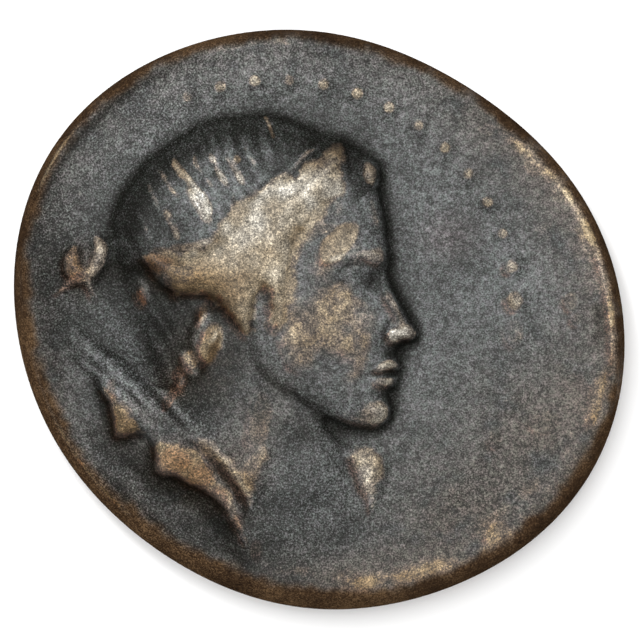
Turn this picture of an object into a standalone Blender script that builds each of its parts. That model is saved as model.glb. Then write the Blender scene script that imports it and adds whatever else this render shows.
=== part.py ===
"""An ancient bronze coin: a thick, oval, hand-cast flan struck with a draped bust on the obverse.

The whole coin is one piece. Both faces are reliefs over the flan's outline, joined at its rounded edge.
The relief is worked out in millimetres on a square sheet and then laid on the coin, which is in metres.
The coin lies on its reverse: +Z is out of the obverse, +Y towards the crown of the head, +X to its nose.
"""
import bmesh
import bpy
import math
import numpy as np

MM = 0.001
COIN = "bronze_coin"

# Flan: a worn oval of cast bronze. A wave is its count round the edge, its size and where it points.
FLAN_RADIUS = 11.395
FLAN_WAVES = ((1, 0.10, 166), (2, 0.65, 150), (3, 0.09, 8), (4, 0.03, -18), (6, 0.035, 27))
FIELD = 2.35
EDGE_TOP = 1.40
EDGE_BOTTOM = 1.15
# The rounding of the edge is widest at its thick side
THICK_SIDE = 228
SHOULDER = 0.38
SHOULDER_EXTRA = 0.55
SHOULDER_GATHERED = 1.5
# The worn lip inside the edge: its height, what each side adds to it, its place and its half width
LIP = 0.10
LIP_SIDES = ((THICK_SIDE, 0.10), (20, 0.05))
LIP_INSIDE = 0.12
LIP_WIDTH = 0.38
# Lumps of the ground and of the figure: layers of height, size in mm and seed
GROUND_LUMPS = ((0.07, 4.2, 3), (0.035, 1.7, 4))
FIGURE_LUMPS = ((0.03, 0.9, 16),)
REVERSE_FIELD = 0.42
REVERSE_SHOULDER = 0.60

# Head, in shares of its height from the middle of its box: +u to the nose, +v to the crown.
# The face follows the canon: chin to nose, nose to brow and brow to hair are equal thirds.
# Steps are the quarter rounds by which a form rises from its outline: height in mm and width.
HEAD_HEIGHT = 12.1
HEAD_AT = (-2.0, 1.83)
CHIN = -0.5
THIRD = 0.27
NOSE_BASE = CHIN + THIRD
BROW = NOSE_BASE + THIRD
HAIRLINE = BROW + THIRD
LIPS = NOSE_BASE - THIRD / 3
EYE = -0.024
FACE_STEPS = ((0.40, 0.035), (0.72, 0.30))
PROFILE = (
    (0.25, 0.36), (0.332, HAIRLINE), (0.366, 0.20), (0.381, 0.10), (0.386, BROW + 0.01), (0.380, -0.005),
    (0.400, -0.06), (0.433, -0.12), (0.466, -0.175), (0.474, -0.197), (0.462, -0.217), (0.425, NOSE_BASE),
    (0.408, -0.245), (0.411, -0.275), (0.424, -0.298), (0.416, LIPS + 0.008), (0.398, LIPS),
    (0.411, LIPS - 0.012), (0.411, -0.348), (0.388, -0.378), (0.386, -0.402), (0.393, -0.435),
    (0.380, -0.474), (0.340, CHIN + 0.002), (0.27, -0.492), (0.17, -0.455), (0.08, -0.41),
    (-0.01, -0.345), (-0.06, -0.27), (-0.10, -0.12), (-0.16, 0.05), (-0.05, 0.25), (0.12, 0.40),
)
# Soft swellings and hollows: middle, radii, turn, height in mm
FACE_SWELLS = (
    ((0.16, -0.11), (0.11, 0.055), -20, 0.10),  # cheekbone
    ((0.20, -0.27), (0.10, 0.06), 20, -0.09),  # hollow of the cheek
    ((0.29, 0.16), (0.08, 0.09), 0, 0.08),  # forehead
    ((0.06, -0.30), (0.10, 0.08), 40, 0.05),  # corner of the jaw
    ((0.315, EYE), (0.060, 0.042), 10, -0.30),  # eye socket
    ((0.22, EYE), (0.06, 0.035), 0, -0.10),  # its outer end
    ((0.432, -0.2215), (0.015, 0.0085), -5, -0.16),  # nostril
    ((0.372, -0.258), (0.022, 0.020), 0, -0.10),  # above the lip
    ((0.318, -0.325), (0.016, 0.018), 0, -0.08),  # corner of the mouth
    ((0.368, -0.385), (0.034, 0.016), 10, -0.10),  # under the lip
    ((0.345, -0.440), (0.045, 0.038), 0, 0.14),  # chin
)
# Rounded forms with an edge of their own: middle, radii, turn, height in mm
FACE_DOMES = (
    ((0.283, EYE), (0.044, 0.031), 8, 0.20),  # eyeball
    ((0.450, -0.190), (0.028, 0.026), 0, 0.17),  # tip of the nose
    ((0.408, -0.203), (0.034, 0.027), -8, 0.20),  # wing of the nose
)
# Lines: points, half width, height in mm
FACE_LINES = (
    (((0.375, 0.028), (0.33, 0.052), (0.27, 0.058), (0.21, 0.040), (0.17, 0.01)), 0.028, 0.17),  # brow
    (((0.212, -0.036), (0.240, -0.008), (0.280, 0.010), (0.322, 0.004), (0.338, -0.012)), 0.0115, 0.13),
    (((0.214, -0.038), (0.250, -0.055), (0.290, -0.058), (0.322, -0.047)), 0.0105, 0.09),  # lower lid
    (((0.222, 0.0), (0.26, 0.026), (0.31, 0.026), (0.345, 0.008)), 0.010, -0.06),  # fold over the lid
    (((0.372, 0.03), (0.385, -0.05), (0.42, -0.12), (0.448, -0.17)), 0.022, 0.10),  # bridge of the nose
    (((0.396, -0.158), (0.374, -0.178), (0.368, -0.205), (0.380, -0.232)), 0.0115, -0.15),  # round its wing
    (((0.420, -0.297), (0.395, -0.291), (0.360, -0.303), (0.330, -0.320)), 0.019, 0.14),  # upper lip
    (((0.408, -0.348), (0.385, -0.350), (0.355, -0.342), (0.335, -0.330)), 0.019, 0.14),  # lower lip
    (((0.412, LIPS + 0.001), (0.385, LIPS - 0.003), (0.322, LIPS - 0.004)), 0.0095, -0.20),  # between them
    (((0.365, -0.215), (0.335, -0.255), (0.318, -0.305)), 0.022, -0.05),  # fold of the cheek
)

# Hair, bust and dress, in mm from the middle of the flan. Lines are points, half width and height.
CROWN = (
    (2.2, 5.45), (1.9, 6.05), (1.18, 6.72), (-0.1, 7.18), (-2.0, 7.74), (-3.6, 7.70), (-5.0, 7.2), (-6.3, 6.3),
    (-7.3, 5.2), (-7.85, 3.9), (-7.9, 2.7), (-7.4, 1.8), (-5.6, 1.7), (-3.2, 2.1), (-0.8, 3.1), (1.0, 4.3),
)
CROWN_STEPS = ((0.52, 1.1), (0.46, 3.6))
# Strands of the crown: where they meet, how wide each is in degrees, how deep, how they sway and wear
STRANDS_MEET = (7.5, -15.0)
STRAND_TURN = 1.50
STRAND_DEPTH = 0.26
STRAND_SWAY = ((0.7, 1.9, 18),)
STRAND_WEAR = ((0.5, 1.3, 19),)
STRANDS_WORN = 0.80
HAIR_ROLL = (
    (-6.9, 2.45), (-6.1, 2.75), (-4.9, 2.6), (-4.15, 3.0), (-3.8, 3.65), (-3.2, 4.4), (-2.35, 5.0),
    (-1.5, 5.4), (-0.75, 5.85), (0.05, 6.5), (0.75, 6.75), (1.0, 6.2), (0.95, 5.2), (0.6, 4.5),
    (0.1, 4.1), (-0.4, 3.45), (-0.85, 2.6), (-1.05, 1.5), (-1.2, 0.3), (-1.42, -0.4), (-1.72, -0.2),
    (-1.9, 0.6), (-2.15, 1.25), (-2.4, 0.6), (-2.6, -0.4), (-2.9, -0.55), (-3.3, 0.1), (-3.8, 0.75),
    (-4.4, 1.0), (-5.3, 1.0), (-6.25, 1.65),
)
# Its soft side lies above a line through its middle; the foot and steps of its steep side, then of the soft
ROLL_MIDDLE = (-2.9, 3.3)
ROLL_TURN = 32
ROLL_FOOT = 0.56
ROLL_STEPS = ((0.36, 0.32), (0.60, 1.5))
ROLL_SOFT_FOOT = 0.90
ROLL_SOFT_RISE = 0.62
ROLL_CREASES = (
    (((-4.4, 1.9), (-2.8, 2.0), (-1.6, 2.7)), 0.20, -0.06),
    (((-3.1, 3.6), (-1.9, 3.5), (-0.6, 4.2)), 0.20, -0.06),
    (((-1.6, 4.8), (-0.5, 4.95), (0.6, 5.8)), 0.20, -0.06),
)
# A thin band with a channel below it over the brow
BROW_BAND = (
    (((-1.9, 5.15), (-1.2, 5.75), (-0.6, 6.3), (0.2, 6.85)), 0.15, 0.16),
    (((-1.7, 4.9), (-0.9, 5.55), (-0.2, 6.1), (0.45, 6.8)), 0.20, -0.18),
)
# Strands that stand out on the crown
STREAKS = (
    (((-5.75, 6.4), (-5.1, 5.5), (-4.5, 4.5), (-4.05, 3.65)), 0.22, 0.14),
    (((-5.1, 4.9), (-4.75, 4.3), (-4.4, 3.6)), 0.20, 0.10),
    (((-4.95, 6.45), (-4.4, 5.7), (-3.9, 4.9)), 0.13, 0.10),
    (((-4.3, 6.5), (-3.75, 5.7), (-3.3, 4.95)), 0.15, 0.12),
    (((-3.65, 6.5), (-3.15, 5.8), (-2.7, 5.05)), 0.17, 0.12),
    (((-2.95, 6.75), (-2.6, 6.2), (-2.3, 5.7)), 0.13, 0.08),
    (((-2.22, 7.8), (-2.05, 7.5), (-1.93, 7.25)), 0.12, 0.10),
    (((-6.3, 5.9), (-5.75, 5.2), (-5.3, 4.5)), 0.13, 0.10),
    (((-5.95, 4.4), (-5.6, 3.5), (-5.4, 2.9)), 0.17, 0.12),
    (((-6.7, 5.3), (-6.3, 4.5), (-6.05, 3.9)), 0.15, 0.10),
    (((-7.0, 4.3), (-6.6, 3.5), (-6.35, 2.9)), 0.15, 0.10),
)
NAPE = (
    (-7.7, 2.6), (-7.5, 1.4), (-7.1, 0.2), (-6.6, -0.9), (-6.2, -2.0), (-5.9, -3.1), (-5.2, -3.6),
    (-4.3, -3.2), (-3.7, -1.8), (-3.5, 0.2), (-4.6, 1.8),
)
NAPE_STEPS = ((0.22, 0.8), (0.16, 1.5))
NAPE_STRAND = 0.62
BUST = (
    (-4.4, 0.5), (-4.9, -1.8), (-5.8, -2.6), (-7.0, -2.2), (-8.0, -1.7), (-8.6, -2.0), (-8.45, -2.75),
    (-8.15, -3.5), (-7.95, -4.25), (-7.6, -4.5), (-6.9, -4.42), (-6.45, -4.75), (-6.35, -5.3), (-6.3, -5.75),
    (-5.9, -5.98), (-5.1, -6.17), (-4.4, -6.7), (-3.7, -7.3), (-3.1, -8.3), (-2.5, -9.1), (-1.6, -9.9),
    (-0.4, -10.3), (0.9, -9.0), (2.0, -7.2), (2.5, -5.3), (1.2, -4.9), (0.35, -4.2), (0.3, -3.4), (0.2, -1.0),
    (-1.5, 1.0),
)
BUST_STEPS = ((0.22, 0.7), (0.40, 2.5))
# How far the bust sinks into the field at its foot and its front
FOOT_SINKS = 0.85
FRONT_SINKS = 0.75
BUST_LINES = (
    (((-3.4, -1.0), (-2.2, -3.4), (-0.2, -5.6)), 0.5, 0.06),
    (((-2.6, -1.2), (-1.5, -3.6), (0.3, -5.2)), 0.35, -0.05),
)
# The high edge where the bust is cut off: middle, radii, turn and height, and the width it rises over
CUT = ((-6.0, -4.9), (3.6, 2.0), -42, 0.62)
CUT_WIDTH = 0.35
# Rounded ridges: rows of x, y, half width and height
NECK = ((-2.9, -0.5, 2.0, 0.80), (-2.7, -3.0, 2.0, 0.74), (-2.2, -5.2, 2.3, 0.60), (-1.2, -7.6, 2.4, 0.34),
        (-0.6, -9.4, 2.2, 0.10))
KNOT = (
    ((-9.45, 2.80, 0.15, 0.30), (-9.44, 2.4, 0.35, 0.56), (-9.37, 1.95, 0.43, 0.6), (-9.1, 1.58, 0.44, 0.5)),
    ((-8.58, 3.14, 0.20, 0.36), (-8.41, 2.7, 0.35, 0.6), (-8.49, 2.22, 0.33, 0.6), (-8.72, 1.8, 0.33, 0.58)),
    ((-9.2, 1.52, 0.32, 0.48), (-9.55, 1.28, 0.21, 0.34), (-9.98, 1.0, 0.12, 0.12)),
    ((-8.88, 1.6, 0.30, 0.48), (-8.79, 1.25, 0.16, 0.34), (-8.74, 0.92, 0.08, 0.1)),
)
TAIL_LOCK = (
    (-5.43, -1.85, 0.16, 0.4), (-5.28, -2.3, 0.22, 0.55), (-5.45, -2.7, 0.25, 0.5), (-5.75, -3.0, 0.20, 0.36),
    (-5.8, -3.4, 0.12, 0.2),
)
RIBBON = (
    (-9.75, -0.1, 0.35, 0.12), (-9.0, -1.15, 0.50, 0.38), (-8.1, -1.95, 0.55, 0.46), (-7.0, -2.8, 0.60, 0.50),
    (-5.9, -3.9, 0.62, 0.50), (-4.8, -4.75, 0.6, 0.46),
)
KNOT_HOLLOW = ((-8.95, 2.4), (0.12, 0.4), 0, -0.16)
# Ear and curls: middle, radii, turn and height in mm
EAR = ((-4.3, -0.7), (0.64, 1.35), -14, 0.98)
EAR_HOLLOW = ((-4.18, -0.35), (0.22, 0.5), -14, -0.14)
CURLS = (
    ((-5.0, -1.65), (0.50, 0.74), 10, 0.78),
    ((-6.75, 1.15), (0.30, 0.55), 35, 0.55),
    ((1.83, 5.62), (0.40, 0.72), 12, 0.95),
)
# Grooves of the ribbon, between the folds, and below the bust
DRESS_LINES = (
    (((-9.3, -1.1), (-8.5, -1.85), (-7.65, -2.45), (-6.95, -3.2), (-6.3, -4.05)), 0.17, -0.20),
    (((-7.0, -2.1), (-6.3, -2.9), (-5.65, -3.65), (-4.8, -4.4)), 0.17, -0.20),
    (((-5.2, -4.6), (-4.3, -5.1), (-3.6, -5.9), (-3.0, -6.9), (-2.7, -7.9)), 0.25, -0.25),
    (((0.8, -4.9), (1.3, -6.2), (1.8, -7.6)), 0.28, -0.06),
    (((-8.6, -4.4), (-7.5, -5.2), (-6.4, -6.3), (-4.9, -6.9), (-3.9, -7.8), (-2.9, -9.2), (-1.4, -10.3)),
     0.42, -0.20),
)
# Folds: outline and rise in mm
FOLDS = (
    (((-8.3, -2.6), (-7.75, -3.0), (-7.25, -3.4), (-7.1, -3.85), (-6.75, -4.15), (-6.55, -4.4), (-6.9, -4.48),
      (-7.7, -4.5), (-8.0, -4.15), (-8.15, -3.45)), 0.16),
    (((-6.45, -4.8), (-6.1, -4.55), (-5.2, -4.7), (-4.6, -4.95), (-4.2, -5.4), (-3.8, -6.05), (-3.3, -6.8),
      (-3.0, -7.9), (-2.7, -8.7), (-3.1, -8.3), (-3.7, -7.35), (-4.4, -6.75), (-5.1, -6.22), (-5.95, -6.03),
      (-6.3, -5.75), (-6.4, -5.3)), 0.20),
    (((-4.75, -4.5), (-4.0, -4.6), (-3.3, -5.1), (-2.95, -5.6), (-2.6, -4.95), (-2.1, -4.8), (-1.95, -5.7),
      (-2.3, -6.6), (-2.75, -7.5), (-3.2, -6.6), (-3.85, -5.75), (-4.55, -5.2)), 0.20),
    (((1.1, -5.0), (1.6, -4.7), (2.25, -4.85), (2.5, -5.5), (2.35, -6.3), (2.15, -7.1), (1.85, -7.4),
      (1.6, -6.6), (1.3, -5.8)), 0.26),
)
FOLD_WIDTH = 0.5
FOLD_SOFTNESS = 0.12
# How far wear has moved the outlines to and fro
DRIFT_ACROSS = ((0.11, 1.3, 41), (0.06, 0.5, 42))
DRIFT_UP = ((0.11, 1.3, 43), (0.06, 0.5, 44))
FILLET = 0.05
RELIEF_TOP = 1.46
TOP_ROUNDING = 0.12
# The hollow struck round the figure, and how soft the worn relief is
MOAT = 0.20
MOAT_WIDTH = 0.8
WORN_SOFT = 0.17
WORN_HIGH = 0.55

# Border of beads round the obverse, struck off centre, and how much of it the wear has left
RING_AT = (-1.66, -0.10)
RING_RADIUS = 9.32
BEAD_COUNT = 44
BEAD_START = 95.2
BEAD_RADIUS = 0.34
BEAD_HEIGHT = 0.24
# Bearings where the whole beads begin and are all there, and where they thin out and end; then the faint ones
WHOLE_BEADS = (-16, 8, 108, 128)
FAINT_BEADS = (-62, -40, -14, 0)
FAINT = 0.4

# Reverse: a star in a laurel wreath, worn level with the rim that the coin lies on
WREATH_RADIUS = 6.3
WREATH_FOOT = 8
WREATH_OPENING = 24
WREATH_HEIGHT = 0.34
WREATH_SOFT = 0.10
LEAF_COUNT = 13
LEAF_LENGTH = 1.0
LEAF_WIDTH = 0.40
LEAF_LEAN = 24
LEAF_OUT = 0.42
STEM_WIDTH = 0.16
STEM_HEIGHT = 0.6
TIE = (0.75, 0.55)
STAR_RAYS = 8
STAR_REACH = 4.3
STAR_WIDTH = 0.75
STAR_DISC = 1.4
STAR_DISC_HEIGHT = 1.3
STAR_EDGE = 0.3
STAR_HEIGHT = 0.46
STAR_SOFT = 0.06
REVERSE_RIM_AT = (0.5, -0.3)
REVERSE_RIM = (8.9, 9.8)
REVERSE_RIM_HEIGHT = 0.55
REVERSE_LUMPS = ((0.05, 3.1, 11), (0.03, 1.3, 12))
REVERSE_SOFT = 0.08

# How soft the relief is, on the face and elsewhere
DETAIL_SOFT = 0.10
FACE_DETAIL_SOFT = 0.06

# Mesh: the sheet's step and half width in mm, the cells along the slab before it is thinned, the share of
# the radius from which they crowd together, and the triangles to keep
SHEET_STEP = 0.1
SHEET_HALF = 12.6
CELLS = 150
EDGE_ZONE = 0.90
TRIANGLES = 9400
# Vertices this low, in mm, rest on the plane
RESTING = 0.01
BRONZE = (0.085, 0.080, 0.072, 1)


# ---------------------------------------------------------------- drawing on the sheet
def curve_through(points, steps, closed=False):
    """A smooth curve through points, whose further columns are carried along."""
    points = np.asarray(points, float)
    if closed:
        chain = np.vstack([points[-1], points, points[:2]])
    else:
        chain = np.vstack([2 * points[0] - points[1], points, 2 * points[-1] - points[-2]])
    a, b, c, d = chain[:-3, None], chain[1:-2, None], chain[2:-1, None], chain[3:, None]
    t = (np.arange(steps) / steps)[None, :, None]
    bend = 2 * a - 5 * b + 4 * c - d + t * (3 * (b - c) + d - a)
    path = (b + 0.5 * t * (c - a + t * bend)).reshape(-1, points.shape[1])
    return path if closed else np.vstack([path, points[-1]])


def nearest(x, y, path, reach):
    """Distance to a path, reach at most, the path's further columns there and the share of its length."""
    low = path[:, :2].min(0) - reach
    high = path[:, :2].max(0) + reach
    near = (x > low[0]) & (x < high[0]) & (y > low[1]) & (y < high[1])
    px, py = x[near], y[near]
    distance = np.full(px.shape, float(reach))
    share = np.zeros(px.shape)
    further = np.zeros((path.shape[1] - 2,) + px.shape)
    moves = np.diff(path, axis=0)
    sizes = np.hypot(moves[:, 0], moves[:, 1])
    run = np.concatenate([[0], np.cumsum(sizes)])
    for start, move, size, done in zip(path, moves, sizes, run):
        dx, dy = px - start[0], py - start[1]
        t = np.clip((dx * move[0] + dy * move[1]) / size**2, 0, 1)
        gap = np.hypot(dx - t * move[0], dy - t * move[1])
        closer = gap < distance
        distance = np.where(closer, gap, distance)
        share = np.where(closer, (done + t * size) / run[-1], share)
        for column in range(len(further)):
            value = start[2 + column] + t * move[2 + column]
            further[column] = np.where(closer, value, further[column])
    layers = [np.full(x.shape, float(reach))] + [np.zeros(x.shape) for _ in range(len(further) + 1)]
    for layer, part in zip(layers, [distance, share, *further]):
        layer[near] = part
    return layers[0], layers[1], layers[2:]


def depth_inside(x, y, outline, reach):
    """Distance inwards from a closed outline, reach at most, and below 0 outside it."""
    ring = np.vstack([outline, outline[:1]])
    inside = np.zeros(x.shape, bool)
    for (ax, ay), (bx, by) in zip(ring[:-1], ring[1:]):
        if ay != by:
            inside ^= ((ay > y) != (by > y)) & (x < (bx - ax) * (y - ay) / (by - ay) + ax)
    depth = nearest(x, y, ring, reach)[0]
    return np.where(inside, depth, -depth)


def quarter_round(depth, width):
    """0 at an edge, rising steeply and levelling off to 1 at width."""
    left = 1 - np.clip(depth / width, 0, 1)
    return np.sqrt(1 - left * left)


def ease(value, start, end):
    """0 before start, 1 after end, smooth between."""
    t = np.clip((value - start) / (end - start), 0, 1)
    return t * t * (3 - 2 * t)


def higher(a, b, blend):
    """The higher of two reliefs, with a small fillet where they meet."""
    return 0.5 * (a + b + np.sqrt((a - b) ** 2 + blend**2))


def turned(x, y, middle, turn):
    """Places measured from a middle, along and across a direction in degrees."""
    c, s = math.cos(math.radians(turn)), math.sin(math.radians(turn))
    dx, dy = x - middle[0], y - middle[1]
    return dx * c + dy * s, dy * c - dx * s


def swelling(x, y, middle, radii, turn=0):
    a, b = turned(x, y, middle, turn)
    return np.exp(-((a / radii[0]) ** 2) - (b / radii[1]) ** 2)


def dome(x, y, middle, radii, turn=0):
    a, b = turned(x, y, middle, turn)
    return np.sqrt(np.clip(1 - (a / radii[0]) ** 2 - (b / radii[1]) ** 2, 0, None))


def line(x, y, points, width):
    """1 on a line through points, soft to its sides and fading at its ends."""
    reach = 3 * width
    distance, share, _ = nearest(x, y, curve_through(points, 6), reach)
    fade = 0.15 + 0.85 * ease(share, 0, 0.25) * ease(1 - share, 0, 0.25)
    return np.where(distance < reach, np.exp(-1.5 * (distance / width) ** 2) * fade, 0)


def ridge(x, y, rows):
    """A rounded ridge along rows of x, y, half width and height."""
    path = curve_through(rows, 8)
    distance, _, (width, height) = nearest(x, y, path, path[:, 2].max())
    return height * np.sqrt(np.clip(1 - (distance / np.maximum(width, 1e-6)) ** 2, 0, None))


def blurred(sheet, reach):
    """A sheet softened over a reach in mm."""
    sigma = reach / SHEET_STEP
    count = math.ceil(3 * sigma)
    weights = np.exp(-0.5 * (np.arange(-count, count + 1) / sigma) ** 2)
    weights /= weights.sum()
    for axis in (0, 1):
        margins = [(count, count) if axis == side else (0, 0) for side in (0, 1)]
        wide = np.pad(sheet, margins, mode="edge")
        places = np.arange(sheet.shape[axis])
        sheet = sum(weight * wide.take(places + k, axis) for k, weight in enumerate(weights))
    return sheet


def clouds(x, y, size, seed):
    """Smooth noise between -1 and 1 in lumps of a size in mm."""
    count = math.ceil(2 * SHEET_HALF / size) + 4
    lattice = np.random.default_rng(seed).uniform(-1, 1, (count, count))
    across, up = (x + SHEET_HALF) / size + 1, (y + SHEET_HALF) / size + 1
    column, row = across.astype(int), up.astype(int)
    tx, ty = ease(across - column, 0, 1), ease(up - row, 0, 1)
    below = lattice[row, column] * (1 - tx) + lattice[row, column + 1] * tx
    above = lattice[row + 1, column] * (1 - tx) + lattice[row + 1, column + 1] * tx
    return below * (1 - ty) + above * ty


def most(*sheets):
    total = sheets[0]
    for sheet in sheets[1:]:
        total = np.maximum(total, sheet)
    return total


def cloudy(x, y, layers):
    """Noise summed from layers of height, size in mm and seed."""
    return sum(height * clouds(x, y, size, seed) for height, size, seed in layers)


def rounded(depth, steps):
    """A form that rises from its outline by quarter rounds of height and width."""
    return sum(height * quarter_round(depth, width) for height, width in steps)


def drawn(x, y, lines):
    """Soft ridges and grooves along lines of points, half width and height."""
    return sum(height * line(x, y, points, width) for points, width, height in lines)


# ---------------------------------------------------------------- obverse
def flan_radius(angle):
    radius = np.full_like(angle, FLAN_RADIUS)
    for count, size, towards in FLAN_WAVES:
        radius += size * np.cos(count * (angle - math.radians(towards)))
    return radius


def side_weight(angle, towards):
    """1 on the side of the flan that faces a direction, 0 on the other half."""
    return np.clip(np.cos(angle - math.radians(towards)), 0, None)


def face(x, y):
    u, v = turned(x, y, HEAD_AT, 0)
    u, v = u / HEAD_HEIGHT, v / HEAD_HEIGHT
    depth = depth_inside(u, v, curve_through(PROFILE, 6, True), 0.31)
    relief = rounded(depth, FACE_STEPS)
    for middle, radii, turn, height in FACE_SWELLS:
        relief += height * swelling(u, v, middle, radii, turn)
    for middle, radii, turn, height in FACE_DOMES:
        relief += height * dome(u, v, middle, radii, turn)
    return np.where(depth > 0, relief + drawn(u, v, FACE_LINES), 0)


def crown(x, y):
    """The cap of combed hair, its strands running to one far point below the chin."""
    depth = depth_inside(x, y, curve_through(CROWN, 6, True), 3.7)
    dx, dy = x - STRANDS_MEET[0], y - STRANDS_MEET[1]
    away = np.hypot(dx, dy)
    turn = np.degrees(np.arctan2(dy, dx)) + 0.35 * np.sin(0.75 * away) + cloudy(x, y, STRAND_SWAY)
    strand = turn / STRAND_TURN
    number = np.floor(strand)
    cord = np.sqrt(np.clip(1 - np.abs(2 * (strand - number) - 1) ** 2.2, 0, 1)) - 0.75
    strength = (0.75 + 0.4 * np.sin(13 * number)) * (1 + cloudy(x, y, STRAND_WEAR))
    strength *= ease(depth, 0.1, 0.9) * (1 - STRANDS_WORN * ease(x - 0.3 * (y - 5), -3.4, -1.4))
    relief = rounded(depth, CROWN_STEPS) + STRAND_DEPTH * strength * cord
    return np.where(depth > 0, relief + drawn(x, y, STREAKS + BROW_BAND), 0)


def hair_roll(x, y):
    """The broad roll from brow to nape: steep over the nape, running softly into the crown and the brow."""
    depth = depth_inside(x, y, curve_through(HAIR_ROLL, 5, True), 1.6)
    _, above = turned(x, y, ROLL_MIDDLE, ROLL_TURN)
    soft = np.maximum(ease(above, -0.3, 0.9), ease(x, -2.0, -1.0))
    steep = ROLL_FOOT + rounded(depth, ROLL_STEPS)
    gentle = ROLL_SOFT_FOOT + ROLL_SOFT_RISE * ease(depth, -0.2, 1.3)
    return np.where(depth > 0, steep + (gentle - steep) * soft + drawn(x, y, ROLL_CREASES), 0)


def nape(x, y):
    depth = depth_inside(x, y, curve_through(NAPE, 6, True), 1.6)
    strands = np.cos(2 * math.pi * ((x + 0.5 * y) / NAPE_STRAND + 0.25 * np.sin(1.1 * y)))
    return np.where(depth > 0, rounded(depth, NAPE_STEPS) + 0.02 * strands * ease(depth, 0, 0.5), 0)


def bust(x, y):
    """Neck and shoulders, fading into the field at the foot and the front."""
    depth = depth_inside(x, y, curve_through(BUST, 6, True), 2.6)
    left = (1 - FOOT_SINKS * ease(-y, 5.0, 9.0)) * (1 - FRONT_SINKS * ease(x - 0.25 * y, 1.0, 3.0))
    middle, radii, turn, height = CUT
    cut = height * swelling(x, y, middle, radii, turn) * quarter_round(depth, CUT_WIDTH)
    relief = np.where(depth > 0, rounded(depth, BUST_STEPS) * left + cut, 0)
    return higher(relief, ridge(x, y, NECK), FILLET) + drawn(x, y, BUST_LINES)


def curls(x, y, relief):
    """The ear, the curls before and behind it, and the lock that hangs from them."""
    for middle, radii, turn, height in (EAR,) + CURLS:
        relief = higher(relief, height * dome(x, y, middle, radii, turn), FILLET)
    middle, radii, turn, height = EAR_HOLLOW
    relief += height * swelling(x, y, middle, radii, turn)
    return higher(relief, ridge(x, y, TAIL_LOCK), FILLET)


def knot(x, y, relief):
    """The knot of the hair band behind the head, with its two loops and short ends."""
    for loop in KNOT:
        relief = higher(relief, ridge(x, y, loop), FILLET)
    middle, radii, turn, height = KNOT_HOLLOW
    return relief + height * swelling(x, y, middle, radii, turn)


def dress(x, y, relief):
    """A ribbon and the folds over the shoulder, and the cut below the bust."""
    relief = higher(relief, ridge(x, y, RIBBON), FILLET)
    for outline, rise in FOLDS:
        depth = depth_inside(x, y, curve_through(outline, 5, True), 0.8)
        relief += rise * blurred(quarter_round(np.maximum(depth, 0), FOLD_WIDTH), FOLD_SOFTNESS)
    return relief + drawn(x, y, DRESS_LINES)


def drifted(x, y):
    """Places moved a little to and fro: a worn outline has lost its line."""
    return x + cloudy(x, y, DRIFT_ACROSS), y + cloudy(x, y, DRIFT_UP)


def figure(x, y, face_relief):
    x, y = drifted(x, y)
    relief = bust(x, y)
    for form in (nape(x, y), face_relief, crown(x, y), hair_roll(x, y)):
        relief = higher(relief, form, FILLET)
    relief = curls(x, y, relief)
    relief = knot(x, y, relief)
    relief = dress(x, y, relief)
    return 2 * RELIEF_TOP - higher(2 * RELIEF_TOP - relief, RELIEF_TOP, TOP_ROUNDING)


def bead_left(bearing):
    """How much of a bead the wear has left, by its bearing in degrees."""
    start, full, thinning, end = WHOLE_BEADS
    whole = ease(bearing, start, full) * (1 - ease(bearing, thinning, end))
    start, full, thinning, end = FAINT_BEADS
    faint = FAINT * ease(bearing, start, full) * (1 - ease(bearing, thinning, end))
    return max(whole, faint)


def beads(x, y):
    relief = np.zeros_like(x)
    for number in range(BEAD_COUNT):
        turn = math.radians(BEAD_START + number * 360 / BEAD_COUNT)
        middle = (RING_AT[0] + RING_RADIUS * math.cos(turn), RING_AT[1] + RING_RADIUS * math.sin(turn))
        left = bead_left(math.degrees(math.atan2(math.sin(turn), math.cos(turn))))
        bead = swelling(x, y, middle, (BEAD_RADIUS, BEAD_RADIUS))
        relief = np.maximum(relief, BEAD_HEIGHT * left * bead)
    return relief


def struck_field(x, y, margin, shoulder):
    """The uneven ground round the figure, with a worn lip inside the edge."""
    angle = np.arctan2(y, x)
    lip = LIP + sum(height * side_weight(angle, side) for side, height in LIP_SIDES)
    return cloudy(x, y, GROUND_LUMPS) + lip * np.exp(-(((margin - shoulder - LIP_INSIDE) / LIP_WIDTH) ** 2))


def obverse(x, y):
    """Height of the obverse over the resting plane, in mm."""
    angle = np.arctan2(y, x)
    margin = flan_radius(angle) - np.hypot(x, y)
    shoulder = SHOULDER + SHOULDER_EXTRA * side_weight(angle, THICK_SIDE) ** SHOULDER_GATHERED
    face_relief = face(x, y)
    relief = figure(x, y, face_relief)
    covered = ease(relief, 0.05, 0.3)
    moat = MOAT * blurred(covered, MOAT_WIDTH) * (1 - covered)
    relief += struck_field(x, y, margin, shoulder) * (1 - 0.6 * covered) - moat + beads(x, y)
    relief += cloudy(x, y, FIGURE_LUMPS) * covered
    soft = blurred(relief, WORN_SOFT)
    crisp = 1 - WORN_HIGH * ease(soft, 0.75, 1.35)
    keen = blurred(ease(face_relief, 0.1, 0.3), 0.2)
    plain = soft + (blurred(relief, DETAIL_SOFT) - soft) * crisp
    sharp = soft + (blurred(relief, FACE_DETAIL_SOFT) - soft) * crisp
    top = FIELD + plain + (sharp - plain) * keen
    return EDGE_TOP + (top - EDGE_TOP) * quarter_round(margin, shoulder)


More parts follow.
